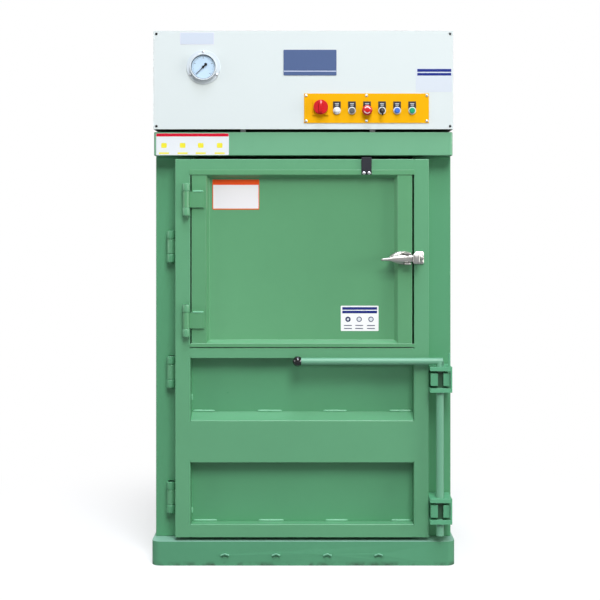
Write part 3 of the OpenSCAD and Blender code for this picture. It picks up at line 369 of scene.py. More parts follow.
# Control plate: yellow sheet on the hood front with plated screws, black tags and white-ringed controls.
# The buttons, the mushroom, the key and the red rotary switch each move in the plate.
softened("control_plate", coated("yellow_coat", srgb(234, 171, 2), cloud=0.04, sheen=0.45, gloss=0.1), 0.0006)
plate_low, plate_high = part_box("control_plate")
plate_face = hood_face - 0.0025
plate_middle = (plate_low[0] + plate_high[0]) / 2
screw_inset = 0.008
plated = metal("plated_screw", srgb(214, 216, 218), 0.3, (20.0, 20.0, 20.0))
plate_screws = [(x, z) for x in (plate_low[0] + screw_inset, plate_middle, plate_high[0] - screw_inset)
                for z in (plate_low[2] + screw_inset, plate_high[2] - screw_inset)]
screw_heads("plate_screw", "cover_screws", plated, plate_screws, 0.0055, plate_face)
softened("legend_plates", plastic("tag_black", srgb(26, 26, 30), 0.5, 0.0), 0.0004)


def flat_field(x, y, z, half_wide, half_tall):
    """Corners of an upright rectangle about x, y, z that faces the front."""
    return np.array([[(x + sx * half_wide, y, z + sz * half_tall) for sx in (-1, 1)] for sz in (-1, 1)])


control_pitch = 0.0587
control_count = 6
ink_thick = 0.0002
tag_low, tag_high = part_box("legend_plates")
tag_half_wide = 0.0152
line_half_tall = 0.0013
line_sizes = ((0.0085, 0.0078), (0.0145, 0.0062))
legend_white = coated("legend_white", srgb(206, 208, 210), peel=0.0, gloss=0.2)
for i in range(control_count):
    middle = tag_low[0] + tag_half_wide + control_pitch * i
    for j, (drop, half_wide) in enumerate(line_sizes):
        line = flat_field(middle, tag_low[1] - ink_thick, tag_high[2] - drop, half_wide, line_half_tall)
        surface(f"legend_line_{i}_{j}", line, legend_white, "frame", around=False)

button_z = 1.775
button_x = 0.131 + control_pitch * np.arange(control_count)
lamp_x, grey_x, stop_x, key_x, blue_x, green_x = button_x
tag_face = plate_face - 0.0015
bezel_face = tag_face - 0.005
white_plastic = plastic("bezel_white", srgb(232, 234, 232), 0.28)
ring = [(0.0112, tag_face), (0.0112, bezel_face + 0.001), (0.0118, bezel_face), (0.0134, bezel_face),
        (0.0146, bezel_face + 0.0012), (0.015, tag_face)]
for i, x in enumerate(button_x):
    bezel = surface(f"bezel_{i}", turned(x, button_z, ring), white_plastic, "frame")
    if i == 0:
        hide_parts("switch_bezels")
cap = [(0.0108, tag_face), (0.0108, bezel_face - 0.003), (0.0100, bezel_face - 0.0043),
       (0.0085, bezel_face - 0.005), (0.0042, bezel_face - 0.0046), (0.0, bezel_face - 0.0044)]
dome = [(0.0108, tag_face), (0.0108, bezel_face - 0.001), (0.0095, bezel_face - 0.0035),
        (0.0062, bezel_face - 0.005), (0.0, bezel_face - 0.0056)]
lamp_white = plastic("lamp_white", srgb(236, 238, 236), 0.18)
surface("lamp_lens", turned(lamp_x, button_z, dome), lamp_white, "frame")
push_buttons = (
    (grey_x, "grey_push", "grey_button", srgb(96, 98, 98)),
    (blue_x, "blue_push", "blue_button", srgb(62, 112, 205)),
    (green_x, "green_push", "green_button", srgb(22, 158, 112)),
)
for x, body, node, colour in push_buttons:
    surface(node + "_cap", turned(x, button_z, cap), plastic(node + "_plastic", colour), body,
            stands_for=(node,))


def printed_arc(x, z, start, sweep, inner, outer, profile, lift=0.0003):
    """Points of an arc printed on a turned cap: radii from inner to outer over sweep degrees from start,
    each as deep as the cap's profile there and raised by lift."""
    turn = np.radians(np.linspace(start, start + sweep, 24))
    band = np.linspace(inner, outer, 4)
    radius, y = np.array(profile).T
    depth = np.interp(band, radius[::-1], y[::-1]) - lift
    depth = np.broadcast_to(depth[:, None], (len(band), len(turn)))
    return np.stack([x + band[:, None] * np.cos(turn), depth, z + band[:, None] * np.sin(turn)], axis=-1)


stop_seat = bezel_face - 0.007
softened("estop_stem", plastic("stem_grey", srgb(176, 178, 180), 0.4), 0.0008)
mushroom = [(0.0, stop_seat), (0.0185, stop_seat), (0.0198, stop_seat - 0.0015), (0.02, stop_seat - 0.004),
            (0.0192, stop_seat - 0.0075), (0.0165, stop_seat - 0.0112), (0.0118, stop_seat - 0.0138),
            (0.006, stop_seat - 0.0148), (0.0, stop_seat - 0.015)]
red_plastic = plastic("signal_red", srgb(202, 10, 24), 0.32, 0.05)
surface("estop_cap", turned(stop_x, button_z, mushroom), red_plastic, "stop_head",
        stands_for=("estop_head",))
for i, start in enumerate((20.0, 200.0)):
    arc = printed_arc(stop_x, button_z, start, 125.0, 0.0108, 0.0138, mushroom[1:])
    surface(f"estop_arc_{i}", arc, white_plastic, "stop_head", around=False)


def upright_disc(x, y, z, deep, tall, profile):
    """Points of an oval disc that stands across X about x, y, z; profile rows are (x offset, scale)."""
    turn = full_turn(32)
    oval = np.stack([np.zeros_like(turn), deep * np.cos(turn), tall * np.sin(turn)], axis=-1)
    return np.array([oval * scale + np.array([x + offset, y, z]) for offset, scale in profile])


def flat_bar(x, z, half_wide, profile):
    """Points of a square-edged bar along Y through x, z; profile rows are (y, half height)."""
    around = ((-1, -1), (1, -1), (1, 1), (-1, 1))
    return np.array([[(x + sx * half_wide, y, z + sz * tall) for sx, sz in around] for y, tall in profile])


key_seat = bezel_face - 0.002
barrel = [(0.0108, tag_face), (0.0108, key_seat + 0.0008), (0.0100, key_seat), (0.0, key_seat)]
key_black = plastic("key_black", srgb(10, 10, 12), 0.5)
surface("key_barrel", turned(key_x, button_z, barrel), key_black, "key",
        stands_for=("key_switch",))
bow = [(-0.0026, 0.0), (-0.0026, 0.93), (-0.002, 1.0), (0.002, 1.0), (0.0026, 0.93), (0.0026, 0.0)]
bow_points = upright_disc(key_x, key_seat - 0.022, button_z - 0.008, 0.011, 0.013, bow)
surface("key_bow", bow_points, key_black, "key")
blade_tip = key_seat - 0.014
blade = [(key_seat, 0.0), (key_seat, 0.005), (blade_tip, 0.005), (blade_tip, 0.0)]
surface("key_blade", flat_bar(key_x, button_z, 0.0012, blade), plated, "key")
slot_mark = flat_field(key_x, key_seat - 0.0003, button_z, 0.0018, 0.0075)
surface("key_slot", slot_mark, plated, "key", around=False)


def squared(wave, power):
    """A cosine or sine raised to the power with its sign kept, which makes a circle a superellipse."""
    return np.sign(wave) * np.abs(wave) ** power


def pillow(x, z, wide, tall, profile, power=0.6, taper=0.0, steps=48):
    """Points of a domed block: superellipse outlines about x, z that narrow to the left by taper;
    profile rows are (the outline's scale, y)."""
    turn = full_turn(steps)
    out_x = wide * squared(np.cos(turn), power)
    out_z = tall * squared(np.sin(turn), power) * (1.0 - taper * np.clip(-np.cos(turn), 0.0, 1.0))
    return np.array([np.stack([x + out_x * scale, np.full_like(turn, y), z + out_z * scale], axis=-1)
                     for scale, y in profile])


switch_x = 0.068
switch_z = 1.788
collar_face = plate_face - 0.007
knob = [(0.006, collar_face - 0.001), (0.0275, collar_face - 0.001), (0.0285, collar_face - 0.002),
        (0.0285, collar_face - 0.010), (0.0272, collar_face - 0.0118), (0.0, collar_face - 0.012)]
surface("switch_disc", turned(switch_x, switch_z, knob, 48), red_plastic, "main_switch",
        stands_for=("main_switch_knob",))
grip_seat = collar_face - 0.0119
grip = [(1.0, grip_seat), (0.97, grip_seat - 0.0085), (0.86, grip_seat - 0.0105), (0.0, grip_seat - 0.011)]
grip_points = pillow(switch_x, switch_z, 0.0082, 0.0245, grip, power=0.45, steps=40)
surface("switch_grip", grip_points, red_plastic, "main_switch")


# Gauge: a light satin case with a wide flange, a pale printed dial, a balanced pointer and flat glass.
# It shows the oil pressure, and plated screws through its flange hold it to the hood.
softened("gauge_case", coated("gauge_coat", srgb(208, 216, 220), cloud=0.03, sheen=0.16, peel=0.0), 0.0012, 3)
softened("gauge_dial", coated("dial_coat", srgb(214, 232, 244), cloud=0.01, sheen=0.5, peel=0.0), 0.0002)
softened("gauge_pointer", black_steel, 0.0001)
gauge_x = -0.3896
gauge_z = 1.9445
pointer_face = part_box("gauge_pointer")[0][1]
pointer_body = frame["nodes"]["gauge_pointer"]["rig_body"]
tail = 0.0138 * math.sqrt(0.5)
weight = [(0.0060, pointer_face + 0.0008), (0.0060, pointer_face - 0.0002), (0.0, pointer_face - 0.0002)]
weight_points = turned(gauge_x + tail, gauge_z + tail, weight, 24)
surface("pointer_weight", weight_points, black_steel, pointer_body)
flange_face = hood_face - 0.003
flange_circle = 0.059
for i, angle in enumerate((90, 210, 330)):
    x = gauge_x + flange_circle * math.cos(math.radians(angle))
    z = gauge_z + flange_circle * math.sin(math.radians(angle))
    head = turned(x, z, head_profile(0.0055, flange_face), 20)
    surface(f"gauge_screw_{i}", head, plated, "frame")


def tick_corners(x, y, z):
    """Corners of the scale's ticks, four a tick: bars along the radius about x, z, spread evenly from lower
    left over the top to lower right, longer at each fifth and tenth and wider at each tenth."""
    spaces, first, sweep, far = 40, 225.0, 270.0, 0.042
    spots = []
    for i in range(spaces + 1):
        angle = math.radians(first - sweep * i / spaces)
        out = np.array([math.cos(angle), math.sin(angle)])
        side = np.array([-out[1], out[0]]) * (0.0007 if i % 10 == 0 else 0.0004)
        near = 0.033 if i % 10 == 0 else 0.0365 if i % 5 == 0 else 0.0385
        spots += [out * near - side, out * near + side, out * far + side, out * far - side]
    return [(x + spot[0], y, z + spot[1]) for spot in spots]


dial_low, dial_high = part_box("gauge_dial")
dial_face = dial_low[1] - ink_thick
dial_radius = (dial_high[0] - dial_low[0]) / 2
edge_face = dial_face - 0.0003
edge_in = dial_radius * 0.955
edge_ring = [(edge_in, dial_face), (edge_in, edge_face), (dial_radius * 0.995, edge_face)]
edge_grey = coated("dial_edge_grey", srgb(92, 98, 104), peel=0.0)
surface("dial_edge", turned(gauge_x, gauge_z, edge_ring, 64), edge_grey, "frame")
marks = tick_corners(gauge_x, dial_face, gauge_z)
ticks = bpy.data.meshes.new("dial_ticks")
ticks.from_pydata(marks, [], np.arange(len(marks)).reshape(-1, 4).tolist())
ticks.materials.append(black_steel)
tick_piece = bpy.data.objects.new("dial_ticks", ticks)
bpy.context.scene.collection.objects.link(tick_piece)
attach(tick_piece, "frame")
glass = bpy.data.materials.new("gauge_glass")
glass.use_nodes = True
glass_tree = glass.node_tree
glass_tree.nodes.clear()
clear = add(glass_tree, "BsdfTransparent", Color=(0.96, 0.98, 1.0, 1.0))
glint = add(glass_tree, "BsdfGlossy", Roughness=0.04)
rim = add(glass_tree, "Fresnel", IOR=1.45)
back = add(glass_tree, "NewGeometry").outputs["Backfacing"]
front = add(glass_tree, "Math", {"operation": "SUBTRACT"}, i0=1.0, i1=back)
gloss = add(glass_tree, "Math", {"operation": "MULTIPLY"}, i0=rim.outputs[0], i1=front.outputs[0])
blend = add(glass_tree, "MixShader", i0=gloss.outputs[0], i1=clear.outputs[0], i2=glint.outputs[0])
glass_out = glass_tree.nodes.new("ShaderNodeOutputMaterial")
glass_tree.links.new(blend.outputs[0], glass_out.inputs["Surface"])
pane = frame["nodes"]["gauge_glass"]
pane.data.materials.clear()
pane.data.materials.append(glass)


# Main door: square tube welded into a frame with a skin and a bent belly plate below the sill.
# It hangs on three turned hinges welded to the left column.
door_green = coated("door_green", srgb(94, 157, 115), cloud=0.08, sheen=0.24)
for name in ("door_stiles", "door_rails"):
    softened(name, door_green, 0.0055, 4)
recess_green = coated("recess_green", srgb(86, 153, 110), cloud=0.10, sheen=0.24)
softened("door_skin", recess_green, 0.001)
softened("door_belly", door_green, 0.0055, 4)
softened("column_hinges", frame_green, 0.003, 3)
for name in ("door_knuckles", "feed_hinge_knuckles"):
    softened(name, door_green, 0.0025, 3)


def barrel_ring(x, y, low, high, radius, round_off=0.003):
    """Points of an upright barrel at x, y from low to high: a straight side with two quarter-round rims."""
    lean = np.linspace(0.0, math.pi / 2.0, 5)
    rim = radius - round_off + round_off * np.sin(lean)
    rise = round_off * (1.0 - np.cos(lean))
    radii = np.concatenate([[0.0], rim, rim[::-1], [0.0]])
    heights = np.concatenate([[low], low + rise, high - rise[::-1], [high]])
    turn = full_turn(40)
    return np.stack([x + radii[:, None] * np.cos(turn), y + radii[:, None] * np.sin(turn),
                     np.broadcast_to(heights[:, None], (len(heights), len(turn)))], axis=-1)


# Each set gives a name, the axis in x and y, the middles of the hinges, the half lengths of the inner knuckle
# and of the whole hinge, the radius, the paint and the node that the barrels lie round.
knuckle_gap = 0.0015
hinge_sets = (
    ("hinge_barrel", -0.5225, -0.3585, (0.2545, 0.7495, 1.2445), 0.0290, 0.0625, 0.0180,
     frame_green, "column_hinges"),
    ("feed_barrel", -0.4570, -0.4255, (0.9565, 1.4285), 0.0315, 0.0635, 0.0144,
     door_green, "feed_hinge_knuckles"),
)
for name, x, y, middles, inner, outer, radius, paint, node in hinge_sets:
    for i, middle in enumerate(middles):
        for j, (low, high) in enumerate(((-outer, -inner - knuckle_gap), (inner + knuckle_gap, outer))):
            surface(f"{name}_{i}_{j}", barrel_ring(x, y, middle + low, middle + high, radius), paint,
                    frame["nodes"][node]["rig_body"])


def bead(start, end, radius, away, ripple_pitch=0.0045):
    """Points of a stitch weld: a half-round run from start to end with ripples and thinned ends."""
    start, end, away = np.array(start), np.array(end), np.array(away)
    along = np.linspace(0.0, 1.0, 60)
    length = np.linalg.norm(end - start)
    swell = np.sqrt(np.clip(1.0 - (2.0 * along - 1.0) ** 8, 0.0, 1.0))
    ripple = 1.0 + 0.10 * np.sin(along * length / ripple_pitch * 2.0 * math.pi)
    size = radius * swell * ripple
    turn = full_turn(12)
    across = np.cross((end - start) / length, away)
    ring = np.cos(turn)[:, None] * away * 0.8 + np.sin(turn)[:, None] * across
    return (start + (end - start) * along[:, None])[:, None, :] + size[:, None, None] * ring[None]


joint_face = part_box("door_stiles")[0][1] - 0.00006
rail_low, rail_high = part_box("door_rails")
joint_half_wide = 0.007
joint_heights = ((0.1115, 0.155), (0.409, 0.560), (0.813, 0.845), (1.547, 1.583))
joints = [(x, z0, z1) for x in (rail_low[0], rail_high[0]) for z0, z1 in joint_heights]
for i, (x, z0, z1) in enumerate(joints):
    joint = flat_field(x, joint_face, (z0 + z1) / 2, joint_half_wide, (z1 - z0) / 2)
    surface(f"ground_weld_{i}", joint, door_green, "main_door", around=False)
# Painted highlight: the weld beads take a lighter green than the door's paint.
weld_highlight_green = coated("weld_highlight_green", srgb(112, 178, 138), cloud=0.05, sheen=0.2, peel=0.0)
skin_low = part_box("door_skin")[0]
weld_y = skin_low[1] - 0.001
belly_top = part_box("door_belly")[1][2]
rail_top = 0.159
weld_rows = (
    ("belly_weld", belly_top + 0.002, ((-0.437, -0.349), (-0.183, -0.084), (0.078, 0.173), (0.339, 0.428))),
    ("rail_weld", rail_top + 0.003, ((-0.436, -0.341), (-0.179, -0.076), (0.086, 0.177), (0.347, 0.426))),
)
for name, z, runs in weld_rows:
    for i, (x0, x1) in enumerate(runs):
        run = bead((x0, weld_y, z), (x1, weld_y, z), 0.0046, (0.0, -0.9, 0.4))
        surface(f"{name}_{i}", run, weld_highlight_green, "main_door")
wall_x = skin_low[0] + 0.002
for i, (z0, z1) in enumerate(((0.638, 0.662), (0.190, 0.214))):
    run = bead((wall_x, weld_y, z0), (wall_x, weld_y, z1), 0.0035, (0.4, -0.9, 0.0))
    surface(f"wall_weld_{i}", run, weld_highlight_green, "main_door")


# Lock: ears welded to the door's edge carry a turning rod with a long lever and a black ball knob.
# Flats on the rod turn in slotted keepers on the column; the flats and the keepers' slot are painted dark
# green, painted shade in the slot.
lock_green = coated("lock_green", srgb(92, 164, 123), cloud=0.08)
softened("lock_ears", lock_green, 0.0015)


def shade_banded(name, colour, bands, axis):
    """Sprayed metal, painted dark green where the chosen coordinate lies in one of the bands (low, high), as
    painted shade.
    """
    material, tree, skin, where = shader(name)
    layer = add(tree, "Group", {"node_tree": coat}, Vector=where, Colour=colour, Cloud=0.08,
                Sheen=0.36, Peel=0.1)
    spot = add(tree, "SeparateXYZ", Vector=where).outputs[axis]
    slot_shade = None
    for low, high in bands:
        above = add(tree, "Math", {"operation": "GREATER_THAN"}, i0=spot, i1=low).outputs[0]
        below = add(tree, "Math", {"operation": "LESS_THAN"}, i0=spot, i1=high).outputs[0]
        band = add(tree, "Math", {"operation": "MULTIPLY"}, i0=above, i1=below).outputs[0]
        if slot_shade is None:
            slot_shade = band
        else:
            slot_shade = add(tree, "Math", {"operation": "MAXIMUM"}, i0=slot_shade, i1=band).outputs[0]
    # Painted shade: the bands take a dark green.
    paint = mixed_colour(tree, slot_shade, layer.outputs["Colour"], srgb(44, 84, 58))
    tree.links.new(paint, skin.inputs["Base Color"])
    tree.links.new(layer.outputs["Roughness"], skin.inputs["Roughness"])
    tree.links.new(layer.outputs["Normal"], skin.inputs["Normal"])
    return material


# Painted shade on the rod's flats and in the keepers' slot.
rod_flats = ((0.187, 0.253), (0.697, 0.763))
keeper_slots = ((0.5208, 0.5422),)
softened("lock_rod", shade_banded("lock_rod_green", srgb(108, 166, 134), rod_flats, "Z"), 0.001)
softened("lock_keepers", shade_banded("keeper_green", srgb(84, 154, 114), keeper_slots, "X"), 0.0012)
softened("lever_knob", plastic("ball_black", srgb(16, 16, 18), 0.14, 0.4), 0.0006)


# Feed door: one folded sheet with a dished middle, hung on two hinges whose leaves lie on its front.
# A black strap riveted to its top edge reaches over the frame to the safety switch.
feed_green = coated("feed_green", srgb(90, 152, 107), cloud=0.09, sheen=0.24)
softened("feed_panel", feed_green, 0.0014, 3, angle=20.0, joined=False)
softened("feed_hinge_leaves", feed_green, 0.0025, 3)
leaf_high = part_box("feed_hinge_leaves")[1]
leaf_pitch = 0.472
leaf_weld_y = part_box("feed_panel")[0][1] - 0.002
leaf_weld_x = (leaf_high[0] - 0.045, leaf_high[0] - 0.001)
for i, leaf_top in enumerate((leaf_high[2] - leaf_pitch, leaf_high[2])):
    leaf_start, leaf_end = [(x, leaf_weld_y, leaf_top + 0.0015) for x in leaf_weld_x]
    run = bead(leaf_start, leaf_end, 0.0052, (0.0, -0.7, 0.7))
    surface(f"leaf_weld_{i}", run, weld_highlight_green, "feed_door")
softened("interlock_strap", plastic("strap_black", srgb(16, 18, 30), 0.5, 0.0), 0.0012)
strap_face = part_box("interlock_strap")[0][1]
rivet_low, rivet_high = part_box("strap_rivets")
rivet_z = (rivet_low[2] + rivet_high[2]) / 2
rivet_radius = 0.0065
rivet_rise = 0.003
rivet_arc = np.linspace(0.0, math.pi / 2, 7)
rivet_head = [(rivet_radius * math.cos(a), strap_face - rivet_rise * math.sin(a)) for a in rivet_arc]
for i, x in enumerate((rivet_low[0] + rivet_radius, rivet_high[0] - rivet_radius)):
    rivet = surface(f"strap_rivet_{i}", turned(x, rivet_z, rivet_head, 20), plated, "feed_door")
    if i == 0:
        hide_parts("strap_rivets")


# Latch: a cast and plated pull handle that pivots on a body on the feed door.
# Its tongue hooks behind a keeper screwed to the main door's right stile.
chrome = metal("latch_plating", srgb(196, 195, 190), 0.36, (30.0, 30.0, 30.0))


def casting(name, points, body, stands_for=()):
    """A smooth plated piece of the latch through a grid of points."""
    return surface(name, points, chrome, body, stands_for=stands_for, sharp=60.0)


pivot_x = 0.405
pivot_y = -0.4405
pivot_z = 1.1985
keeper_low, keeper_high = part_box("latch_keeper")
lip_front = keeper_low[1]
lip_back = lip_front + 0.006
keeper_seat = keeper_high[1]
keeper_body = frame["nodes"]["latch_keeper"]["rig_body"]
foot = [(1.0, keeper_seat), (1.0, keeper_seat - 0.0045), (0.95, keeper_seat - 0.006),
        (0.0, keeper_seat - 0.006)]
web = [(1.0, keeper_seat - 0.004), (1.0, lip_back - 0.001)]
lip = [(0.0, lip_back), (0.88, lip_back), (1.0, lip_back - 0.0015), (0.98, lip_back - 0.0035),
       (0.8, lip_front + 0.0005), (0.0, lip_front)]
boss = [(0.0105, keeper_seat - 0.004), (0.0105, keeper_seat - 0.020), (0.0085, keeper_seat - 0.024),
        (0.005, keeper_seat - 0.0255), (0.0, keeper_seat - 0.026)]
casting("keeper_plate", pillow(0.4530, 1.2015, 0.0180, 0.0245, foot, 0.22), keeper_body, ("latch_keeper",))
casting("keeper_web", pillow(0.4460, pivot_z, 0.0042, 0.0190, web, 0.3), keeper_body)
casting("keeper_lip", pillow(0.4385, pivot_z, 0.0140, 0.0212, lip, 0.4), keeper_body)
casting("keeper_boss", turned(0.4595, 1.2016, boss, 32), keeper_body)

# The shell is cut back to a shallow pocket on its right, where tongue and handle swing.
body_seat = -0.4115
shell_x = 0.380
shell = [(1.0, 0.0), (1.0, 0.004), (1.0, 0.007), (0.94, 0.011), (0.8, 0.0145), (0.65, 0.0158), (0.5, 0.0165),
         (0.35, 0.0168), (0.2, 0.0169), (0.0, 0.017)]
shell_profile = [(scale, body_seat - rise) for scale, rise in shell]
shell_points = pillow(shell_x, 1.2012, 0.0445, 0.0255, shell_profile, 0.62, 0.5)
pocket_rise = np.interp(shell_points[..., 0], [shell_x, shell_x + 0.014], [0.017, 0.0038])
shell_points[..., 1] = np.maximum(shell_points[..., 1], body_seat - pocket_rise)
casting("latch_shell", shell_points, "feed_door", ("latch_body",))
cheek = [(1.0, body_seat - 0.009), (1.0, body_seat - 0.036), (0.85, body_seat - 0.0395),
         (0.0, body_seat - 0.040)]
for i, side in enumerate((-1, 1)):
    casting(f"latch_cheek_{i}", pillow(pivot_x, pivot_z + side * 0.0200, 0.013, 0.0040, cheek), "feed_door")


def lever(x, y, z, length):
    """Points of the pull handle from x to the left: superellipse rings whose half height and half depth
    follow two tables along its run, round a middle line that sinks a little and leans to the front."""
    run = np.linspace(0.0, 1.0, 40)[:, None]
    turn = full_turn(28)
    half_tall = np.interp(run, [0.0, 0.05, 0.2, 0.42, 0.6, 0.72, 0.9, 0.975, 1.0],
                          [0.0, 0.011, 0.0152, 0.0145, 0.0115, 0.0068, 0.0052, 0.0042, 0.0])
    half_deep = np.interp(run, [0.0, 0.05, 0.2, 0.5, 0.72, 0.9, 0.975, 1.0],
                          [0.0, 0.0055, 0.0095, 0.0095, 0.0068, 0.0052, 0.0042, 0.0])
    along = np.broadcast_to(x - length * run, (len(run), len(turn)))
    depth = y - 0.003 * run + half_deep * squared(np.cos(turn), 0.8)
    height = z - 0.004 * run ** 1.5 + half_tall * squared(np.sin(turn), 0.8)
    return np.stack([along, depth, height], axis=-1)


tongue = [(0.0, pivot_y + 0.006), (0.9, pivot_y + 0.006), (1.0, pivot_y + 0.005), (1.0, pivot_y - 0.005),
          (0.9, pivot_y - 0.006), (0.0, pivot_y - 0.006)]
casting("latch_tongue", pillow(pivot_x + 0.0115, pivot_z, 0.0115, 0.0125, tongue, 0.3), "latch")
casting("latch_lever", lever(pivot_x + 0.018, pivot_y, pivot_z, 0.122), "latch", ("latch_handle",))


# Plates: blank plates of sheet and foil with printed fields of colour.
# They are glued flat on the hood, the header and the feed door.
foil_thick = 0.0004
board_thick = 0.0015


def plate(name, x0, x1, z0, z1, seat, colour, body, thick=foil_thick, corner=0.003):
    """A thin plate whose outline has quarter circles at its corners: its rows run from the back edge over the
    front edge to the middle."""
    arc = np.linspace(0.0, math.pi / 2, 7)
    centres = ((x1 - corner, z1 - corner), (x0 + corner, z1 - corner),
               (x0 + corner, z0 + corner), (x1 - corner, z0 + corner))
    quarters = []
    for i, (cx, cz) in enumerate(centres):
        turn = arc + i * 0.5 * math.pi
        across, up = cx + corner * np.cos(turn), cz + corner * np.sin(turn)
        quarters.append(np.stack([across, np.zeros_like(turn), up], axis=-1))
    outline = np.concatenate(quarters)
    centre = np.array([(x0 + x1) / 2, 0.0, (z0 + z1) / 2])
    rows = [centre + (outline - centre) * scale + np.array([0.0, seat - lift, 0.0])
            for scale, lift in ((1.0, 0.0), (1.0, thick), (0.0, thick))]
    coating = coated(name + "_print", colour, cloud=0.01, sheen=0.4, peel=0.0, gloss=0.15)
    return surface(name, np.array(rows), coating, body)


def field(name, x0, x1, z0, z1, seat, colour, body, corner=0.001):
    """A printed field of colour, as thin as ink, on a plate whose front lies at y = seat."""
    return plate(name, x0, x1, z0, z1, seat, colour, body, ink_thick, corner)


board_print = hood_face - board_thick
hood_print = hood_face - foil_thick
notice_blue = srgb(34, 48, 128)
plate("hood_plate", -0.0772, 0.1295, 1.9129, 2.0128, hood_face, srgb(80, 98, 137), "frame", board_thick)
field("hood_plate_line", -0.0760, 0.1283, 1.9275, 1.9310, board_print, srgb(196, 204, 224), "frame")
plate("small_plate", -0.4809, -0.3483, 2.0335, 2.0800, hood_face, srgb(214, 214, 226), "frame")
field("small_plate_field", -0.4789, -0.3503, 2.0355, 2.0780, hood_print, srgb(200, 209, 220), "frame", 0.003)
plate("notice_plate", 0.4388, 0.5805, 1.8482, 1.9418, hood_face, srgb(206, 213, 220), "frame")
field("notice_band_0", 0.4446, 0.5772, 1.9270, 1.9379, hood_print, notice_blue, "frame")
field("notice_band_1", 0.4446, 0.5772, 1.9122, 1.9223, hood_print, notice_blue, "frame")

header_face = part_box("header_beam")[0][1]
header_print = header_face - foil_thick
sign_yellow = srgb(232, 222, 60)
bar_yellow = srgb(236, 228, 96)
plate("header_plate", -0.5755, -0.2910, 1.6025, 1.6880, header_face, srgb(222, 226, 228), "frame")
field("header_band", -0.5745, -0.2920, 1.6755, 1.6872, header_print, srgb(212, 24, 52), "frame")
sign_half = 0.011
bar_half = 0.020
for i, x in enumerate((-0.545, -0.472, -0.401, -0.327)):
    field(f"header_field_{i}", x - sign_half, x + sign_half, 1.6310, 1.6500, header_print, sign_yellow,
          "frame", 0.004)
    field(f"header_bar_{i}", x - bar_half, x + bar_half, 1.6065, 1.6135, header_print, bar_yellow,
          "frame", 0.002)

dish_face = -0.3845
dish_print = dish_face - foil_thick
lower_blue = srgb(40, 52, 120)
plate("feed_plate", -0.3573, -0.1733, 1.3898, 1.5081, dish_face, srgb(232, 84, 30), "feed_door")
field("feed_plate_field", -0.3543, -0.1763, 1.3938, 1.4870, dish_print, srgb(228, 226, 226), "feed_door")
plate("lower_plate", 0.1474, 0.2960, 0.9126, 1.0120, dish_face, srgb(240, 240, 238), "feed_door")
field("lower_band_0", 0.1534, 0.2900, 0.9960, 1.0066, dish_print, lower_blue, "feed_door")
field("lower_band_1", 0.1534, 0.2900, 0.9820, 0.9925, dish_print, lower_blue, "feed_door")


def disc(name, x, z, radius, seat, colour):
    """A round printed field on the feed door."""
    return field(name, x - radius, x + radius, z - radius, z + radius, seat, colour, "feed_door", radius)


disc_z = 0.9587
disc_radius = 0.0105
bar_grey = srgb(96, 100, 118)
row_half_wide = 0.0155
row_half_tall = 0.0018
for i, (x, core_share) in enumerate(((0.1757, 0.45), (0.2197, 0.68), (0.2661, 0.68))):
    disc(f"lower_disc_{i}", x, disc_z, disc_radius, dish_print, srgb(52, 60, 96))
    disc(f"lower_core_{i}", x, disc_z, disc_radius * core_share, dish_print - ink_thick, srgb(214, 218, 222))
    for j, z in enumerate((0.9343, 0.9225)):
        field(f"lower_bar_{i}_{j}", x - row_half_wide, x + row_half_wide, z - row_half_tall,
              z + row_half_tall, dish_print, bar_grey, "feed_door")


# Stage: floor and world look white to the camera, and the floor keeps a faint shadow near the machine.
# A soft key lamp stands high in front on the right, with two weak side lamps, a bluish lamp overhead
# for the faces that look up and a lamp at the rear.
floor_half = 12.0
floor_corners = [(x * floor_half, y * floor_half, 0.0) for x, y in ((-1, -1), (1, -1), (1, 1), (-1, 1))]
floor_mesh = bpy.data.meshes.new("studio_floor")
floor_mesh.from_pydata(floor_corners, [], [(0, 1, 2, 3)])
floor_white = bpy.data.materials.new("studio_white")
floor_white.use_nodes = True
floor_tree = floor_white.node_tree
floor_tree.nodes.clear()
matt = add(floor_tree, "BsdfDiffuse", Color=(0.3, 0.3, 0.3, 1.0))
glow = add(floor_tree, "Emission", Color=(1.0, 1.0, 1.0, 1.0), Strength=1.0)
paper = add(floor_tree, "BsdfDiffuse", Color=(0.95, 0.95, 0.95, 1.0))
floor_where = add(floor_tree, "TexCoord").outputs["Object"]
reach = add(floor_tree, "VectorMath", {"operation": "LENGTH"}, i0=floor_where)
fade = add(floor_tree, "MapRange", {"interpolation_type": "SMOOTHSTEP"}, Value=reach.outputs["Value"],
           From_Min=0.6, From_Max=1.9, To_Min=0.55, To_Max=1.0)
sweep = add(floor_tree, "MixShader", i0=fade.outputs[0], i1=paper.outputs[0], i2=glow.outputs[0])
ray = floor_tree.nodes.new("ShaderNodeLightPath")
seen = add(floor_tree, "MixShader", i0=ray.outputs["Is Camera Ray"], i1=matt.outputs[0], i2=sweep.outputs[0])
floor_tree.links.new(seen.outputs[0], floor_tree.nodes.new("ShaderNodeOutputMaterial").inputs["Surface"])
floor_mesh.materials.append(floor_white)
studio_floor = bpy.data.objects.new("studio_floor", floor_mesh)
bpy.context.scene.collection.objects.link(studio_floor)

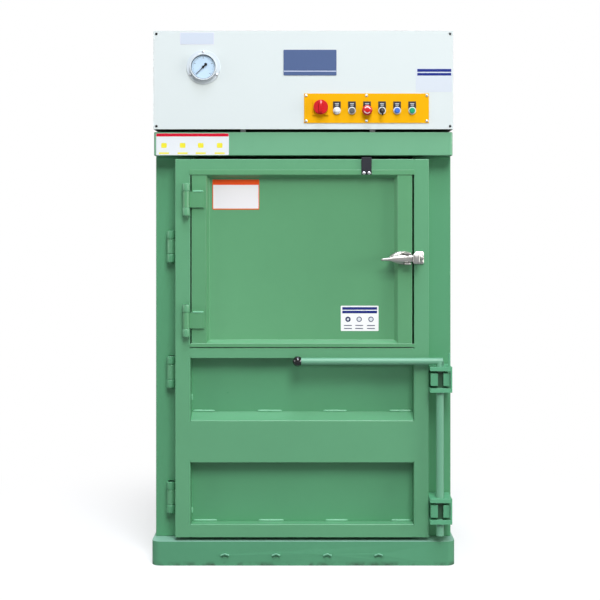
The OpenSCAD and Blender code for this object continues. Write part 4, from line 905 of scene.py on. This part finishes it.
world = bpy.data.worlds.new("studio")
bpy.context.scene.world = world
world.use_nodes = True
sky = world.node_tree
sky.nodes.clear()
soft = add(sky, "Background", Color=(1.0, 1.0, 1.0, 1.0), Strength=0.08)
white = add(sky, "Background", Color=(1.0, 1.0, 1.0, 1.0), Strength=1.0)
mirror = add(sky, "Background", Color=(1.0, 1.0, 1.0, 1.0), Strength=0.4)
sky_ray = sky.nodes.new("ShaderNodeLightPath")
lit = add(sky, "MixShader", i0=sky_ray.outputs["Is Glossy Ray"], i1=soft.outputs[0], i2=mirror.outputs[0])
shown = add(sky, "MixShader", i0=sky_ray.outputs["Is Camera Ray"], i1=lit.outputs[0], i2=white.outputs[0])
sky.links.new(shown.outputs[0], sky.nodes.new("ShaderNodeOutputWorld").inputs["Surface"])


def softbox(name, place, aim, size, power, colour, mirrored=True):
    """A square area light at place, turned to aim; mirrored says whether gloss shows it."""
    light = bpy.data.lights.new(name, "AREA")
    light.size = size
    light.energy = power
    light.color = colour
    lamp = bpy.data.objects.new(name, light)
    bpy.context.scene.collection.objects.link(lamp)
    lamp.location = place
    lamp.visible_glossy = mirrored
    gaze = np.array(aim) - np.array(place)
    tilt = math.acos(-gaze[2] / np.linalg.norm(gaze))
    heading = math.atan2(gaze[1], gaze[0]) - math.pi / 2
    lamp.rotation_euler = (tilt, 0.0, heading)


front_middle = (0.0, -0.4, 1.0)
rear_middle = (0.0, 0.4, 1.0)
softbox("key", (1.55, -8.1, 8.7), front_middle, 4.6, 1005.0, (0.98, 0.99, 1.0))
softbox("side", (9.5, -3.8, 2.6), front_middle, 3.0, 430.0, (1.0, 0.99, 0.97))
softbox("left", (-9.5, -3.8, 2.6), front_middle, 3.0, 220.0, (1.0, 1.0, 1.0))
softbox("overhead", (0.4, -4.0, 12.0), front_middle, 4.5, 800.0, (0.80, 0.84, 1.0))
softbox("rear", (-3.0, 9.5, 5.5), rear_middle, 4.0, 420.0, (1.0, 1.0, 1.0), mirrored=False)

camera_data = bpy.data.cameras.new("camera")
camera_data.sensor_width = 36.0
camera_data.lens = 69.2
camera_data.shift_x = -0.0055
camera_data.shift_y = -0.1168
camera = bpy.data.objects.new("camera", camera_data)
camera.location = (0.0, -4.92, 1.31)
camera.rotation_euler = (math.radians(90.0), 0.0, 0.0)
bpy.context.scene.collection.objects.link(camera)
bpy.context.scene.camera = camera
bpy.context.scene.view_settings.view_transform = "Standard"
